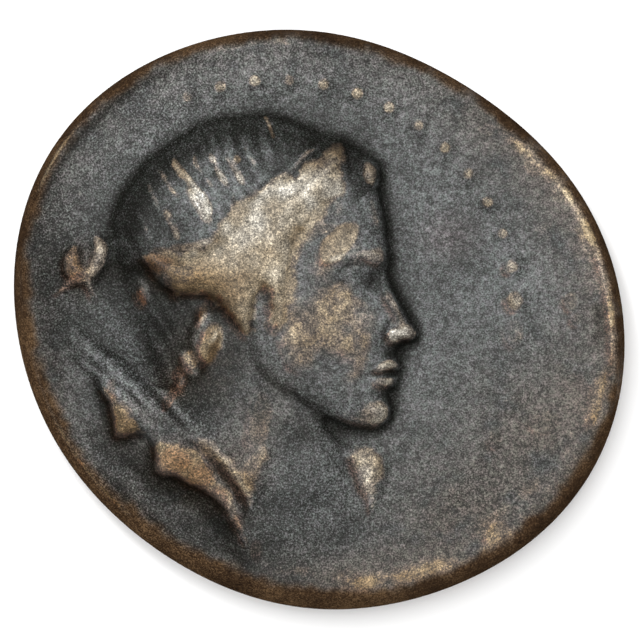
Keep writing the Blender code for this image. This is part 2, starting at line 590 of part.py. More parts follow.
# ---------------------------------------------------------------- reverse
def wreath(x, y):
    """Two branches of leaves in pairs, open at the top and tied at the bottom."""
    relief = np.zeros_like(x)
    for side in (-1, 1):
        for number in range(LEAF_COUNT):
            along = (180 - WREATH_FOOT - WREATH_OPENING) * number / (LEAF_COUNT - 1)
            angle = -90 + side * (WREATH_FOOT + along)
            for row in (1, -1):
                radius = WREATH_RADIUS + row * LEAF_OUT
                middle = (radius * math.cos(math.radians(angle)), radius * math.sin(math.radians(angle)))
                turn = angle + 90 - side * row * LEAF_LEAN
                relief = np.maximum(relief, dome(x, y, middle, (LEAF_LENGTH, LEAF_WIDTH), turn))
    stem = np.exp(-(((np.hypot(x, y) - WREATH_RADIUS) / STEM_WIDTH) ** 2))
    opening = ease(np.abs(np.degrees(np.arctan2(x, y))), WREATH_OPENING - 2, WREATH_OPENING + 4)
    return most(relief, STEM_HEIGHT * stem * opening, dome(x, y, (0, -WREATH_RADIUS), TIE))


def star(x, y):
    radius = np.hypot(x, y)
    swing = math.pi / STAR_RAYS
    bearing = (np.arctan2(y, x) + swing) % (2 * swing) - swing
    taper = STAR_WIDTH * np.clip(1 - radius / STAR_REACH, 0, 1) + 0.02
    ray = np.clip(1 - np.abs(radius * np.sin(bearing)) / taper, 0, 1)
    ray *= ease(STAR_REACH - radius, 0, STAR_EDGE)
    return most(ray, STAR_DISC_HEIGHT * ease(STAR_DISC + STAR_EDGE - radius, 0, STAR_EDGE))


def reverse_relief(x, y):
    """The reverse over the resting plane before its highest parts were worn flat, and its ground."""
    rim = ease(np.hypot(x - REVERSE_RIM_AT[0], y - REVERSE_RIM_AT[1]), *REVERSE_RIM)
    ground = REVERSE_FIELD + cloudy(x, y, REVERSE_LUMPS)
    relief = ground - WREATH_HEIGHT * blurred(wreath(x, y), WREATH_SOFT)
    relief -= STAR_HEIGHT * blurred(star(x, y), STAR_SOFT) + REVERSE_RIM_HEIGHT * rim
    return blurred(relief, REVERSE_SOFT), ground


def reverse(x, y):
    """Height of the reverse over the resting plane, in mm: its highest parts are worn flat at 0."""
    margin = flan_radius(np.arctan2(y, x)) - np.hypot(x, y)
    flat = np.clip(reverse_relief(x, y)[0], 0, None)
    return EDGE_BOTTOM + (flat - EDGE_BOTTOM) * quarter_round(margin, REVERSE_SHOULDER)


# ---------------------------------------------------------------- the coin's mesh
def on_disc(a, b):
    """Places in the unit disc for places in the unit square, ring by ring, crowded towards the edge."""
    ring = np.maximum(np.abs(a), np.abs(b))
    safe = np.maximum(ring, 1e-9)
    wide = np.abs(a) >= np.abs(b)
    turn = np.where(wide, b / safe, 2 - a / safe) * math.pi / 4
    turn = np.where(wide & (a < 0), math.pi - b / safe * math.pi / 4, turn)
    turn = np.where(~wide & (b < 0), -math.pi / 2 + a / safe * math.pi / 4, turn)
    t = np.clip((ring - EDGE_ZONE) / (1 - EDGE_ZONE), 0, 1)
    radius = np.where(ring > EDGE_ZONE, EDGE_ZONE + (1 - EDGE_ZONE) * (t + t**2 - t**3), ring)
    return radius, turn


def read_sheet(sheet, x, y):
    """The sheet's value at any place, between its four nearest points."""
    across, up = (x + SHEET_HALF) / SHEET_STEP, (y + SHEET_HALF) / SHEET_STEP
    column, row = across.astype(int), up.astype(int)
    tx, ty = across - column, up - row
    below = sheet[row, column] * (1 - tx) + sheet[row, column + 1] * tx
    above = sheet[row + 1, column] * (1 - tx) + sheet[row + 1, column + 1] * tx
    return below * (1 - ty) + above * ty


def square_slab():
    """A flat box whose top and bottom are split into square cells."""
    bm = bmesh.new()
    bmesh.ops.create_cube(bm, size=2)
    level = [edge for edge in bm.edges if edge.verts[0].co.z == edge.verts[1].co.z]
    bmesh.ops.subdivide_edges(bm, edges=level, cuts=CELLS - 1, use_grid_fill=True)
    mesh = bpy.data.meshes.new(COIN)
    bm.to_mesh(mesh)
    bm.free()
    return mesh


def strike(mesh):
    """Turns the slab into the flan and gives each side its relief."""
    axis = np.arange(-SHEET_HALF, SHEET_HALF + SHEET_STEP, SHEET_STEP)
    sheet_x, sheet_y = np.meshgrid(axis, axis)
    places = np.empty(3 * len(mesh.vertices), np.float32)
    mesh.vertices.foreach_get("co", places)
    a, b, side = places.reshape(-1, 3).astype(float).T
    radius, turn = on_disc(a, b)
    radius *= flan_radius(turn)
    x, y = radius * np.cos(turn), radius * np.sin(turn)
    top = read_sheet(obverse(sheet_x, sheet_y), x, y)
    bottom = read_sheet(reverse(sheet_x, sheet_y), x, y)
    z = np.where(side > 0, top, bottom)
    mesh.vertices.foreach_set("co", np.column_stack([x, y, z]).astype(np.float32).ravel())
    mesh.update()


def thinned(mesh):
    """The same form in few faces, small where it is sculpted and large where it is plain."""
    mould = bpy.data.objects.new("mould", mesh)
    bpy.context.scene.collection.objects.link(mould)
    decimate = mould.modifiers.new("Thin", "DECIMATE")
    mesh.calc_loop_triangles()
    decimate.ratio = TRIANGLES / len(mesh.loop_triangles)
    decimate.use_collapse_triangulate = True
    evaluated = mould.evaluated_get(bpy.context.evaluated_depsgraph_get())
    thin = bpy.data.meshes.new_from_object(evaluated)
    bpy.data.objects.remove(mould)
    return thin


def bronze():
    material = bpy.data.materials.new("patinated_bronze")
    material.use_nodes = True
    shader = material.node_tree.nodes["Principled BSDF"]
    shader.inputs["Base Color"].default_value = BRONZE
    shader.inputs["Metallic"].default_value = 0.5
    shader.inputs["Roughness"].default_value = 0.55
    return material


def main():
    for leftover in list(bpy.data.objects):
        bpy.data.objects.remove(leftover)
    mesh = square_slab()
    strike(mesh)
    mesh = thinned(mesh)
    mesh.name = COIN
    for vertex in mesh.vertices:
        if vertex.co.z < RESTING:
            vertex.co.z = 0
        vertex.co *= MM
    mesh.materials.clear()
    mesh.materials.append(bronze())
    mesh.shade_smooth()
    coin = bpy.data.objects.new(COIN, mesh)
    collection = bpy.data.collections.new("ancient_bronze_coin")
    bpy.context.scene.collection.children.link(collection)
    collection.objects.link(coin)


main()
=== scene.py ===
import math

import bpy
import numpy as np
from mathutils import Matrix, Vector


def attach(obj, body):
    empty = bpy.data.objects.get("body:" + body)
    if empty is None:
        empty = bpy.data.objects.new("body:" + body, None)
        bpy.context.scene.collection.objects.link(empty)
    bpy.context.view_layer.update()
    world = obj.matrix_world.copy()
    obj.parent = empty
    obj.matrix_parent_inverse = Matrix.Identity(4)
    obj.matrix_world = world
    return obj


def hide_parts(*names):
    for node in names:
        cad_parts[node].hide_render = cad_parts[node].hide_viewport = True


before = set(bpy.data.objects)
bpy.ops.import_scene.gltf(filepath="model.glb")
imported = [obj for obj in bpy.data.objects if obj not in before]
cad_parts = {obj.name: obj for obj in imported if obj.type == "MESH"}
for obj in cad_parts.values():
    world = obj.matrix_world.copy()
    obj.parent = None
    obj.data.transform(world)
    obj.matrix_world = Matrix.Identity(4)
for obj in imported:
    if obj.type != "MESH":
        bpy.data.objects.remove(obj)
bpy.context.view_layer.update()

# An ancient bronze coin, struck off centre on a thick oval flan: a draped bust inside a worn border of
# beads, and a star in a wreath on the back. Both faces are sculpted in millimetres on a square sheet,
# read onto one closed mesh, and finished with a dark patina that is rubbed through to the metal.
COIN = "bronze_coin"
MM = 0.001

# Flan: a worn oval of cast bronze. A wave is its count round the edge, its size and where it points.
FLAN_RADIUS = 11.395
FLAN_WAVES = ((1, 0.1, 166), (2, 0.65, 150), (3, 0.09, 8), (4, 0.03, -18), (6, 0.035, 27))
FIELD = 2.35
EDGE_TOP = 1.4
EDGE_BOTTOM = 1.15
# The rounding of the edge is widest at its thick side
THICK_SIDE = 228
SHOULDER = 0.38
SHOULDER_EXTRA = 0.55
SHOULDER_GATHERED = 1.5
# The worn lip inside the edge: its height, what each side adds to it, its place and its half width
LIP = 0.1
LIP_SIDES = ((THICK_SIDE, 0.1), (20, 0.05))
LIP_INSIDE = 0.12
LIP_WIDTH = 0.38
# Lumps of the ground and of the figure: layers of height, size in mm and seed
GROUND_LUMPS = ((0.07, 4.2, 3), (0.035, 1.7, 4))
FIGURE_LUMPS = ((0.03, 0.9, 16),)
REVERSE_FIELD = 0.42
REVERSE_SHOULDER = 0.6

# Head, in shares of its height from the middle of its box: +u to the nose, +v to the crown.
# The face follows the canon: chin to nose, nose to brow and brow to hair are equal thirds.
# Steps are the quarter rounds by which a form rises from its outline: height in mm and width.
HEAD_HEIGHT = 12.1
HEAD_AT = (-2.0, 1.83)
CHIN = -0.5
THIRD = 0.27
NOSE_BASE = CHIN + THIRD
BROW = NOSE_BASE + THIRD
HAIRLINE = BROW + THIRD
LIPS = NOSE_BASE - THIRD / 3
EYE = -0.024
FACE_STEPS = ((0.4, 0.035), (0.72, 0.3))
PROFILE = (
    (0.25, 0.36), (0.332, HAIRLINE), (0.366, 0.2), (0.381, 0.1), (0.386, BROW + 0.01), (0.38, -0.005),
    (0.4, -0.06), (0.433, -0.12), (0.466, -0.175), (0.474, -0.197), (0.462, -0.217), (0.425, NOSE_BASE),
    (0.408, -0.245), (0.411, -0.275), (0.424, -0.298), (0.416, LIPS + 0.008), (0.398, LIPS),
    (0.411, LIPS - 0.012), (0.411, -0.348), (0.388, -0.378), (0.386, -0.402), (0.393, -0.435),
    (0.38, -0.474), (0.34, CHIN + 0.002), (0.27, -0.492), (0.17, -0.455), (0.08, -0.41),
    (-0.01, -0.345), (-0.06, -0.27), (-0.1, -0.12), (-0.16, 0.05), (-0.05, 0.25), (0.12, 0.4),
)
# Soft swellings and hollows: middle, radii, turn, height in mm
FACE_SWELLS = (
    ((0.16, -0.11), (0.11, 0.055), -20, 0.1),  # cheekbone
    ((0.2, -0.27), (0.1, 0.06), 20, -0.09),  # hollow of the cheek
    ((0.29, 0.16), (0.08, 0.09), 0, 0.08),  # forehead
    ((0.06, -0.3), (0.1, 0.08), 40, 0.05),  # corner of the jaw
    ((0.315, EYE), (0.06, 0.042), 10, -0.3),  # eye socket
    ((0.22, EYE), (0.06, 0.035), 0, -0.1),  # its outer end
    ((0.432, -0.2215), (0.015, 0.0085), -5, -0.16),  # nostril
    ((0.372, -0.258), (0.022, 0.02), 0, -0.1),  # above the lip
    ((0.318, -0.325), (0.016, 0.018), 0, -0.08),  # corner of the mouth
    ((0.368, -0.385), (0.034, 0.016), 10, -0.1),  # under the lip
    ((0.345, -0.44), (0.045, 0.038), 0, 0.14),  # chin
)
# Rounded forms with an edge of their own: middle, radii, turn, height in mm
FACE_DOMES = (
    ((0.283, EYE), (0.044, 0.031), 8, 0.2),  # eyeball
    ((0.45, -0.19), (0.028, 0.026), 0, 0.17),  # tip of the nose
    ((0.408, -0.203), (0.034, 0.027), -8, 0.2),  # wing of the nose
)
# Lines: points, half width, height in mm
FACE_LINES = (
    (((0.375, 0.028), (0.33, 0.052), (0.27, 0.058), (0.21, 0.04), (0.17, 0.01)), 0.028, 0.17),  # brow
    (((0.212, -0.036), (0.24, -0.008), (0.28, 0.01), (0.322, 0.004), (0.338, -0.012)), 0.0115, 0.13),
    (((0.214, -0.038), (0.25, -0.055), (0.29, -0.058), (0.322, -0.047)), 0.0105, 0.09),  # lower lid
    (((0.222, 0.0), (0.26, 0.026), (0.31, 0.026), (0.345, 0.008)), 0.01, -0.06),  # fold over the lid
    (((0.372, 0.03), (0.385, -0.05), (0.42, -0.12), (0.448, -0.17)), 0.022, 0.1),  # bridge of the nose
    (((0.396, -0.158), (0.374, -0.178), (0.368, -0.205), (0.38, -0.232)), 0.0115, -0.15),  # round its wing
    (((0.42, -0.297), (0.395, -0.291), (0.36, -0.303), (0.33, -0.32)), 0.019, 0.14),  # upper lip
    (((0.408, -0.348), (0.385, -0.35), (0.355, -0.342), (0.335, -0.33)), 0.019, 0.14),  # lower lip
    (((0.412, LIPS + 0.001), (0.385, LIPS - 0.003), (0.322, LIPS - 0.004)), 0.0095, -0.2),  # between them
    (((0.365, -0.215), (0.335, -0.255), (0.318, -0.305)), 0.022, -0.05),  # fold of the cheek
)

# Hair, bust and dress, in mm from the middle of the flan. Lines are points, half width and height.
CROWN = (
    (2.2, 5.45), (1.9, 6.05), (1.18, 6.72), (-0.1, 7.18), (-2.0, 7.74), (-3.6, 7.7), (-5.0, 7.2),
    (-6.3, 6.3), (-7.3, 5.2), (-7.85, 3.9), (-7.9, 2.7), (-7.4, 1.8), (-5.6, 1.7), (-3.2, 2.1),
    (-0.8, 3.1), (1.0, 4.3),
)
CROWN_STEPS = ((0.52, 1.1), (0.46, 3.6))
# Strands of the crown: where they meet, how wide each is in degrees, how deep and round, how they wave
# and sway, how strong each is, how they start at the edge, and how they wear off towards the brow
STRANDS_MEET = (7.5, -15.0)
STRAND_TURN = 1.5
STRAND_DEPTH = 0.26
STRAND_ROUNDNESS = 2.2
STRAND_LEVEL = 0.75
STRAND_WAVE = (0.35, 0.75)
STRAND_SWAY = ((0.7, 1.9, 18),)
STRAND_STRENGTH = (0.75, 0.4, 13)
STRAND_WEAR = ((0.5, 1.3, 19),)
STRANDS_START = (0.1, 0.9)
STRANDS_WORN = 0.8
STRANDS_WORN_FROM = (-4.9, -2.9)
STRANDS_WORN_LEAN = 0.3
HAIR_ROLL = (
    (-6.9, 2.45), (-6.1, 2.75), (-4.9, 2.6), (-4.15, 3.0), (-3.8, 3.65), (-3.2, 4.4), (-2.35, 5.0),
    (-1.5, 5.4), (-0.75, 5.85), (0.05, 6.5), (0.75, 6.75), (1.0, 6.2), (0.95, 5.2), (0.6, 4.5),
    (0.1, 4.1), (-0.4, 3.45), (-0.85, 2.6), (-1.05, 1.5), (-1.2, 0.3), (-1.42, -0.4), (-1.72, -0.2),
    (-1.9, 0.6), (-2.15, 1.25), (-2.4, 0.6), (-2.6, -0.4), (-2.9, -0.55), (-3.3, 0.1), (-3.8, 0.75),
    (-4.4, 1.0), (-5.3, 1.0), (-6.25, 1.65),
)
# Its soft side lies above a line through its middle, and to the right; the foot and steps of its steep
# side; then the foot, rise and width of the soft one
ROLL_MIDDLE = (-2.9, 3.3)
ROLL_TURN = 32
ROLL_SOFT_ABOVE = (-0.3, 0.9)
ROLL_SOFT_RIGHT = (-2.0, -1.0)
ROLL_FOOT = 0.56
ROLL_STEPS = ((0.36, 0.32), (0.6, 1.5))
ROLL_SOFT_FOOT = 0.9
ROLL_SOFT_RISE = 0.62
ROLL_SOFT_WIDTH = (-0.2, 1.3)
ROLL_CREASES = (
    (((-4.4, 1.9), (-2.8, 2.0), (-1.6, 2.7)), 0.2, -0.06),
    (((-3.1, 3.6), (-1.9, 3.5), (-0.6, 4.2)), 0.2, -0.06),
    (((-1.6, 4.8), (-0.5, 4.95), (0.6, 5.8)), 0.2, -0.06),
)
# A thin band with a channel below it over the brow
BROW_BAND = (
    (((-1.9, 5.15), (-1.2, 5.75), (-0.6, 6.3), (0.2, 6.85)), 0.15, 0.16),
    (((-1.7, 4.9), (-0.9, 5.55), (-0.2, 6.1), (0.45, 6.8)), 0.2, -0.18),
)
# Strands that stand out on the crown
STREAKS = (
    (((-5.75, 6.4), (-5.1, 5.5), (-4.5, 4.5), (-4.05, 3.65)), 0.22, 0.14),
    (((-5.1, 4.9), (-4.75, 4.3), (-4.4, 3.6)), 0.2, 0.1),
    (((-4.95, 6.45), (-4.4, 5.7), (-3.9, 4.9)), 0.13, 0.1),
    (((-4.3, 6.5), (-3.75, 5.7), (-3.3, 4.95)), 0.15, 0.12),
    (((-3.65, 6.5), (-3.15, 5.8), (-2.7, 5.05)), 0.17, 0.12),
    (((-2.95, 6.75), (-2.6, 6.2), (-2.3, 5.7)), 0.13, 0.08),
    (((-2.22, 7.8), (-2.05, 7.5), (-1.93, 7.25)), 0.12, 0.1),
    (((-6.3, 5.9), (-5.75, 5.2), (-5.3, 4.5)), 0.13, 0.1),
    (((-5.95, 4.4), (-5.6, 3.5), (-5.4, 2.9)), 0.17, 0.12),
    (((-6.7, 5.3), (-6.3, 4.5), (-6.05, 3.9)), 0.15, 0.1),
    (((-7.0, 4.3), (-6.6, 3.5), (-6.35, 2.9)), 0.15, 0.1),
)
NAPE = (
    (-7.7, 2.6), (-7.5, 1.4), (-7.1, 0.2), (-6.6, -0.9), (-6.2, -2.0), (-5.9, -3.1), (-5.2, -3.6),
    (-4.3, -3.2), (-3.7, -1.8), (-3.5, 0.2), (-4.6, 1.8),
)
NAPE_STEPS = ((0.22, 0.8), (0.16, 1.5))
# Strands of the nape: their spacing, lean, wave, height and how they start at the edge
NAPE_STRAND = 0.62
NAPE_LEAN = 0.5
NAPE_WAVE = (0.25, 1.1)
NAPE_STRAND_HEIGHT = 0.02
NAPE_STRANDS_START = (0, 0.5)
BUST = (
    (-4.4, 0.5), (-4.9, -1.8), (-5.8, -2.6), (-7.0, -2.2), (-8.0, -1.7), (-8.6, -2.0), (-8.45, -2.75),
    (-8.15, -3.5), (-7.95, -4.25), (-7.6, -4.5), (-6.9, -4.42), (-6.45, -4.75), (-6.35, -5.3),
    (-6.3, -5.75), (-5.9, -5.98), (-5.1, -6.17), (-4.4, -6.7), (-3.7, -7.3), (-3.1, -8.3), (-2.5, -9.1),
    (-1.6, -9.9), (-0.4, -10.3), (0.9, -9.0), (2.0, -7.2), (2.5, -5.3), (1.2, -4.9), (0.35, -4.2),
    (0.3, -3.4), (0.2, -1.0), (-1.5, 1.0),
)
BUST_STEPS = ((0.22, 0.7), (0.4, 2.5))
# How far the bust sinks into the field at its foot and its front, and where
FOOT_SINKS = 0.85
FOOT_FROM = (5.0, 9.0)
FRONT_SINKS = 0.75
FRONT_FROM = (1.0, 3.0)
FRONT_LEAN = 0.25
BUST_LINES = (
    (((-3.4, -1.0), (-2.2, -3.4), (-0.2, -5.6)), 0.5, 0.06),
    (((-2.6, -1.2), (-1.5, -3.6), (0.3, -5.2)), 0.35, -0.05),
)
# The high edge where the bust is cut off: middle, radii, turn and height, and the width it rises over
CUT = ((-6.0, -4.9), (3.6, 2.0), -42, 0.62)
CUT_WIDTH = 0.35
# Rounded ridges: rows of x, y, half width and height
NECK = (
    (-2.9, -0.5, 2.0, 0.8), (-2.7, -3.0, 2.0, 0.74), (-2.2, -5.2, 2.3, 0.6), (-1.2, -7.6, 2.4, 0.34),
    (-0.6, -9.4, 2.2, 0.1),
)
KNOT = (
    ((-9.45, 2.8, 0.15, 0.3), (-9.44, 2.4, 0.35, 0.56), (-9.37, 1.95, 0.43, 0.6), (-9.1, 1.58, 0.44, 0.5)),
    ((-8.58, 3.14, 0.2, 0.36), (-8.41, 2.7, 0.35, 0.6), (-8.49, 2.22, 0.33, 0.6), (-8.72, 1.8, 0.33, 0.58)),
    ((-9.2, 1.52, 0.32, 0.48), (-9.55, 1.28, 0.21, 0.34), (-9.98, 1.0, 0.12, 0.12)),
    ((-8.88, 1.6, 0.3, 0.48), (-8.79, 1.25, 0.16, 0.34), (-8.74, 0.92, 0.08, 0.1)),
)
TAIL_LOCK = (
    (-5.43, -1.85, 0.16, 0.4), (-5.28, -2.3, 0.22, 0.55), (-5.45, -2.7, 0.25, 0.5),
    (-5.75, -3.0, 0.2, 0.36), (-5.8, -3.4, 0.12, 0.2),
)
RIBBON = (
    (-9.75, -0.1, 0.35, 0.12), (-9.0, -1.15, 0.5, 0.38), (-8.1, -1.95, 0.55, 0.46),
    (-7.0, -2.8, 0.6, 0.5), (-5.9, -3.9, 0.62, 0.5), (-4.8, -4.75, 0.6, 0.46),
)
KNOT_HOLLOW = ((-8.95, 2.4), (0.12, 0.4), 0, -0.16)
# Ear and curls: middle, radii, turn and height in mm
EAR = ((-4.3, -0.7), (0.64, 1.35), -14, 0.98)
EAR_HOLLOW = ((-4.18, -0.35), (0.22, 0.5), -14, -0.14)
CURLS = (
    ((-5.0, -1.65), (0.5, 0.74), 10, 0.78),
    ((-6.75, 1.15), (0.3, 0.55), 35, 0.55),
    ((1.83, 5.62), (0.4, 0.72), 12, 0.95),
)
# Grooves of the ribbon, between the folds, and below the bust
DRESS_LINES = (
    (((-9.3, -1.1), (-8.5, -1.85), (-7.65, -2.45), (-6.95, -3.2), (-6.3, -4.05)), 0.17, -0.2),
    (((-7.0, -2.1), (-6.3, -2.9), (-5.65, -3.65), (-4.8, -4.4)), 0.17, -0.2),
    (((-5.2, -4.6), (-4.3, -5.1), (-3.6, -5.9), (-3.0, -6.9), (-2.7, -7.9)), 0.25, -0.25),
    (((0.8, -4.9), (1.3, -6.2), (1.8, -7.6)), 0.28, -0.06),
    (((-8.6, -4.4), (-7.5, -5.2), (-6.4, -6.3), (-4.9, -6.9), (-3.9, -7.8), (-2.9, -9.2),
      (-1.4, -10.3)), 0.42, -0.2),
)
# Folds: outline and rise in mm
FOLDS = (
    (((-8.3, -2.6), (-7.75, -3.0), (-7.25, -3.4), (-7.1, -3.85), (-6.75, -4.15), (-6.55, -4.4),
      (-6.9, -4.48), (-7.7, -4.5), (-8.0, -4.15), (-8.15, -3.45)), 0.16),
    (((-6.45, -4.8), (-6.1, -4.55), (-5.2, -4.7), (-4.6, -4.95), (-4.2, -5.4), (-3.8, -6.05), (-3.3, -6.8),
      (-3.0, -7.9), (-2.7, -8.7), (-3.1, -8.3), (-3.7, -7.35), (-4.4, -6.75), (-5.1, -6.22), (-5.95, -6.03),
      (-6.3, -5.75), (-6.4, -5.3)), 0.2),
    (((-4.75, -4.5), (-4.0, -4.6), (-3.3, -5.1), (-2.95, -5.6), (-2.6, -4.95), (-2.1, -4.8), (-1.95, -5.7),
      (-2.3, -6.6), (-2.75, -7.5), (-3.2, -6.6), (-3.85, -5.75), (-4.55, -5.2)), 0.2),
    (((1.1, -5.0), (1.6, -4.7), (2.25, -4.85), (2.5, -5.5), (2.35, -6.3), (2.15, -7.1), (1.85, -7.4),
      (1.6, -6.6), (1.3, -5.8)), 0.26),
)
FOLD_WIDTH = 0.5
FOLD_SOFTNESS = 0.12
# How far inwards the depth inside each outline is told
FACE_DEPTH = 0.31
CROWN_DEPTH = 3.7
ROLL_DEPTH = 1.6
NAPE_DEPTH = 1.6
BUST_DEPTH = 2.6
FOLD_DEPTH = 0.8
# How far wear has moved the outlines to and fro
DRIFT_ACROSS = ((0.11, 1.3, 41), (0.06, 0.5, 42))
DRIFT_UP = ((0.11, 1.3, 43), (0.06, 0.5, 44))
FILLET = 0.05
RELIEF_TOP = 1.46
TOP_ROUNDING = 0.12
# The hollow struck round the figure, what the figure hides of the ground, and how soft the worn relief is,
# most on what stands highest
MOAT = 0.2
MOAT_WIDTH = 0.8
COVERED = (0.05, 0.3)
GROUND_HIDDEN = 0.6
WORN_SOFT = 0.17
WORN_HIGH = 0.55
WORN_LEVELS = (0.75, 1.35)

# Border of beads round the obverse, struck off centre, and how much of it the wear has left
RING_AT = (-1.66, -0.1)
RING_RADIUS = 9.32
BEAD_COUNT = 44
BEAD_START = 95.2
BEAD_RADIUS = 0.34
BEAD_HEIGHT = 0.24
# Bearings where whole beads begin, are all there, thin out and end; then the faint ones. The least and most
# that is left of a bead, and the metal on its top
WHOLE_BEADS = (-16, 8, 108, 128)
FAINT_BEADS = (-62, -40, -14, 0)
FAINT = 0.4
BEAD_LEFT = (0.72, 1.12)
BEAD_SEED = 7
BEAD_TOP = (0.35, 0.95)
BEAD_BARE = 0.76
BEAD_PALE = 0.28

# Reverse: a star in a laurel wreath, worn level with the rim that the coin lies on
WREATH_RADIUS = 6.3
WREATH_FOOT = 8
WREATH_OPENING = 24
WREATH_HEIGHT = 0.34
WREATH_SOFT = 0.1
STEM_OPENING = (-2, 4)
LEAF_COUNT = 13
LEAF_LENGTH = 1.0
LEAF_WIDTH = 0.4
LEAF_LEAN = 24
LEAF_OUT = 0.42
STEM_WIDTH = 0.16
STEM_HEIGHT = 0.6
TIE = (0.75, 0.55)
STAR_RAYS = 8
STAR_REACH = 4.3
STAR_WIDTH = 0.75
STAR_TIP = 0.02
STAR_DISC = 1.4
STAR_DISC_HEIGHT = 1.3
STAR_EDGE = 0.3
STAR_HEIGHT = 0.46
STAR_SOFT = 0.06
REVERSE_RIM_AT = (0.5, -0.3)
REVERSE_RIM = (8.9, 9.8)
REVERSE_RIM_HEIGHT = 0.55
REVERSE_LUMPS = ((0.05, 3.1, 11), (0.03, 1.3, 12))
REVERSE_SOFT = 0.08
# Wear of the reverse: its high parts, softened; layers of noise and their range; and bare metal
# everywhere on the high parts, more within the rim, and more where they are rubbed
REVERSE_HIGH_SOFT = 0.1
REVERSE_HIGH = (0.1, 0.3)
REVERSE_RUBBED = ((1.0, 2.6, 33), (0.5, 0.8, 34))
REVERSE_RUBBED_RANGE = (-0.7, 1.0)
REVERSE_GRIMY = ((1.0, 3.2, 35),)
REVERSE_GRIMY_RANGE = (-0.3, 1.2)
REVERSE_GRIME = 0.55
# Dirt and painted shade in the reverse's creases: reach, start and end
REVERSE_CREASES = (0.5, 0.01, 0.14)
REVERSE_BARE = (0.24, 0.24, 0.4)
REVERSE_INNER = (2.3, 3.4)
REVERSE_EDGE = (0.3, 0.9)
REVERSE_PALE = 0.22
REVERSE_BROWN = 0.6
REVERSE_RAGGED = ((0.12, 0.8, 15),)
REVERSE_BROWN_FADE = (-0.1, 0.3)
REVERSE_WARM = 0.4
REVERSE_WARM_PATCHY = ((0.4, 2.5, 13),)
REVERSE_COARSE = 0.4

# Fine relief of the skin. Ripples: their spacing and sway; middle, radii, turn and height of their patch
DETAIL_SOFT = 0.1
FACE_DETAIL_SOFT = 0.06
FACE_KEEN = (0.1, 0.3)
FACE_KEEN_SOFT = 0.2
RIPPLE = 0.32
RIPPLE_SWAY = ((2.5, 1.5, 8),)
RIPPLE_WEAR = ((1.0, 0.8, 9),)
RIPPLED = ((-6.6, -7.2), (4.6, 1.3), -42, 0.034)
OBVERSE_GRAINS = ((0.018, 0.75, 21), (0.013, 0.33, 22), (0.009, 0.17, 23))
REVERSE_GRAINS = ((0.018, 0.75, 31), (0.013, 0.33, 32), (0.009, 0.17, 33))

# Colours, from their dark to their light grains
PATINA_TONES = (
    (0.0, (0.006, 0.006, 0.005)),
    (0.25, (0.028, 0.029, 0.027)),
    (0.5, (0.091, 0.096, 0.096)),
    (0.75, (0.168, 0.176, 0.177)),
    (1.0, (0.277, 0.291, 0.294)),
)
METAL_TONES = (
    (0.0, (0.018, 0.013, 0.008)),
    (0.2, (0.055, 0.04, 0.025)),
    (0.38, (0.108, 0.083, 0.055)),
    (0.55, (0.173, 0.147, 0.109)),
    (0.72, (0.27, 0.25, 0.212)),
    (0.87, (0.37, 0.357, 0.326)),
    (1.0, (0.53, 0.51, 0.46)),
)
EDGE_TONES = (
    (0.0, (0.006, 0.004, 0.003)),
    (0.5, (0.034, 0.0195, 0.0105)),
    (1.0, (0.135, 0.083, 0.042)),
)
COPPER_TONES = (
    (0.0, (0.016, 0.01, 0.007)),
    (0.5, (0.118, 0.085, 0.063)),
    (1.0, (0.33, 0.26, 0.21)),
)
# Noise of the skin: times per mm, detail and roughness
FINE = (15.0, 2.0, 0.75)
GRAIN = (3.6, 4.0, 0.68)
MOTTLE = (0.8, 3.0, 0.55)
CLOUD = (0.25, 2.0, 0.5)
SPECK = (9.0, 1.0, 0.6)
HUES = (5.0, 3.0, 0.6)
# How strongly each shows in the patina: fine grains, more of them where it is coarse, and larger ones
FINE_SHOWS = 1.75
FINE_COARSE = 0.9
GRAIN_SHOWS = 0.95
MOTTLE_SHOWS = 0.48
CLOUD_SHOWS = 0.25
# Middle tone of each ramp, what paleness and painted highlights add to it, and what dirt and painted shade
# take away; that darkening is grainy and evens the patina
PATINA_TONE = (0.35, 0.24, -0.34)
METAL_TONE = (0.4, 0.55, -0.22)
METAL_UNEVEN = 1.15
EDGE_MIDDLE = 0.53
EDGE_DIRT_SHADE = -0.3
EDGE_UNEVEN = 0.95
EDGE_CLOUDY = 0.35
DIRT_SHADE_GRAIN = 1.7
DIRT_SHADE_LEAST = 0.15
DIRT_SHADE_EVENS = -0.25
METAL_GRAIN = 19.0
# Dark pits in the metal; grains that decide where it shows; thin rubbing that shows copper; rust in grains
PITS = (0.6, 0.72)
PITS_DARK = -0.25
FINE_BARES = 0.35
GRAIN_BARES = 0.6
BARED = (0.2, 0.8)
LEAST_BARE = (0.04, 0.3)
THINLY_BARED = (0.95, 0.45)
COPPER = 0.75
RUST_GRAINS = (0.25, 0.6)
EDGE_BARED = -0.8
# How much metal shines, the roughness, what rubbing and fine grains add to it, and the bumps of the skin
METALLIC = 0.25
ROUGHNESS = 0.45
RUBBED_ROUGHNESS = -0.12
FINE_ROUGHNESS = 0.25
FINE_BUMP = 0.5
BUMP = 0.5
BUMP_HEIGHT = 0.05
GLOSS = 0.28
GLOSS_AT_REST = 0.6
# Tints, the mottling that is warm, the turn between greenish and reddish grains, and a reddish place
WARM_TINT = (1.13, 0.92, 0.78)
GOLD_TINT = (1.0, 0.855, 0.64)
RUST_TINT = (1.0, 0.62, 0.48)
RED_TINT = (1.12, 0.97, 0.98)
GREEN_GRAINS = (0.97, 1.02, 0.98)
RED_GRAINS = (1.03, 0.98, 1.01)
HUES_TURN = (0.4, 0.6)
WARM_MOTTLES = (0.25, 0.52)
RED_PLACE = ((5.0, 3.2), (1.9, 1.6), 0.9)

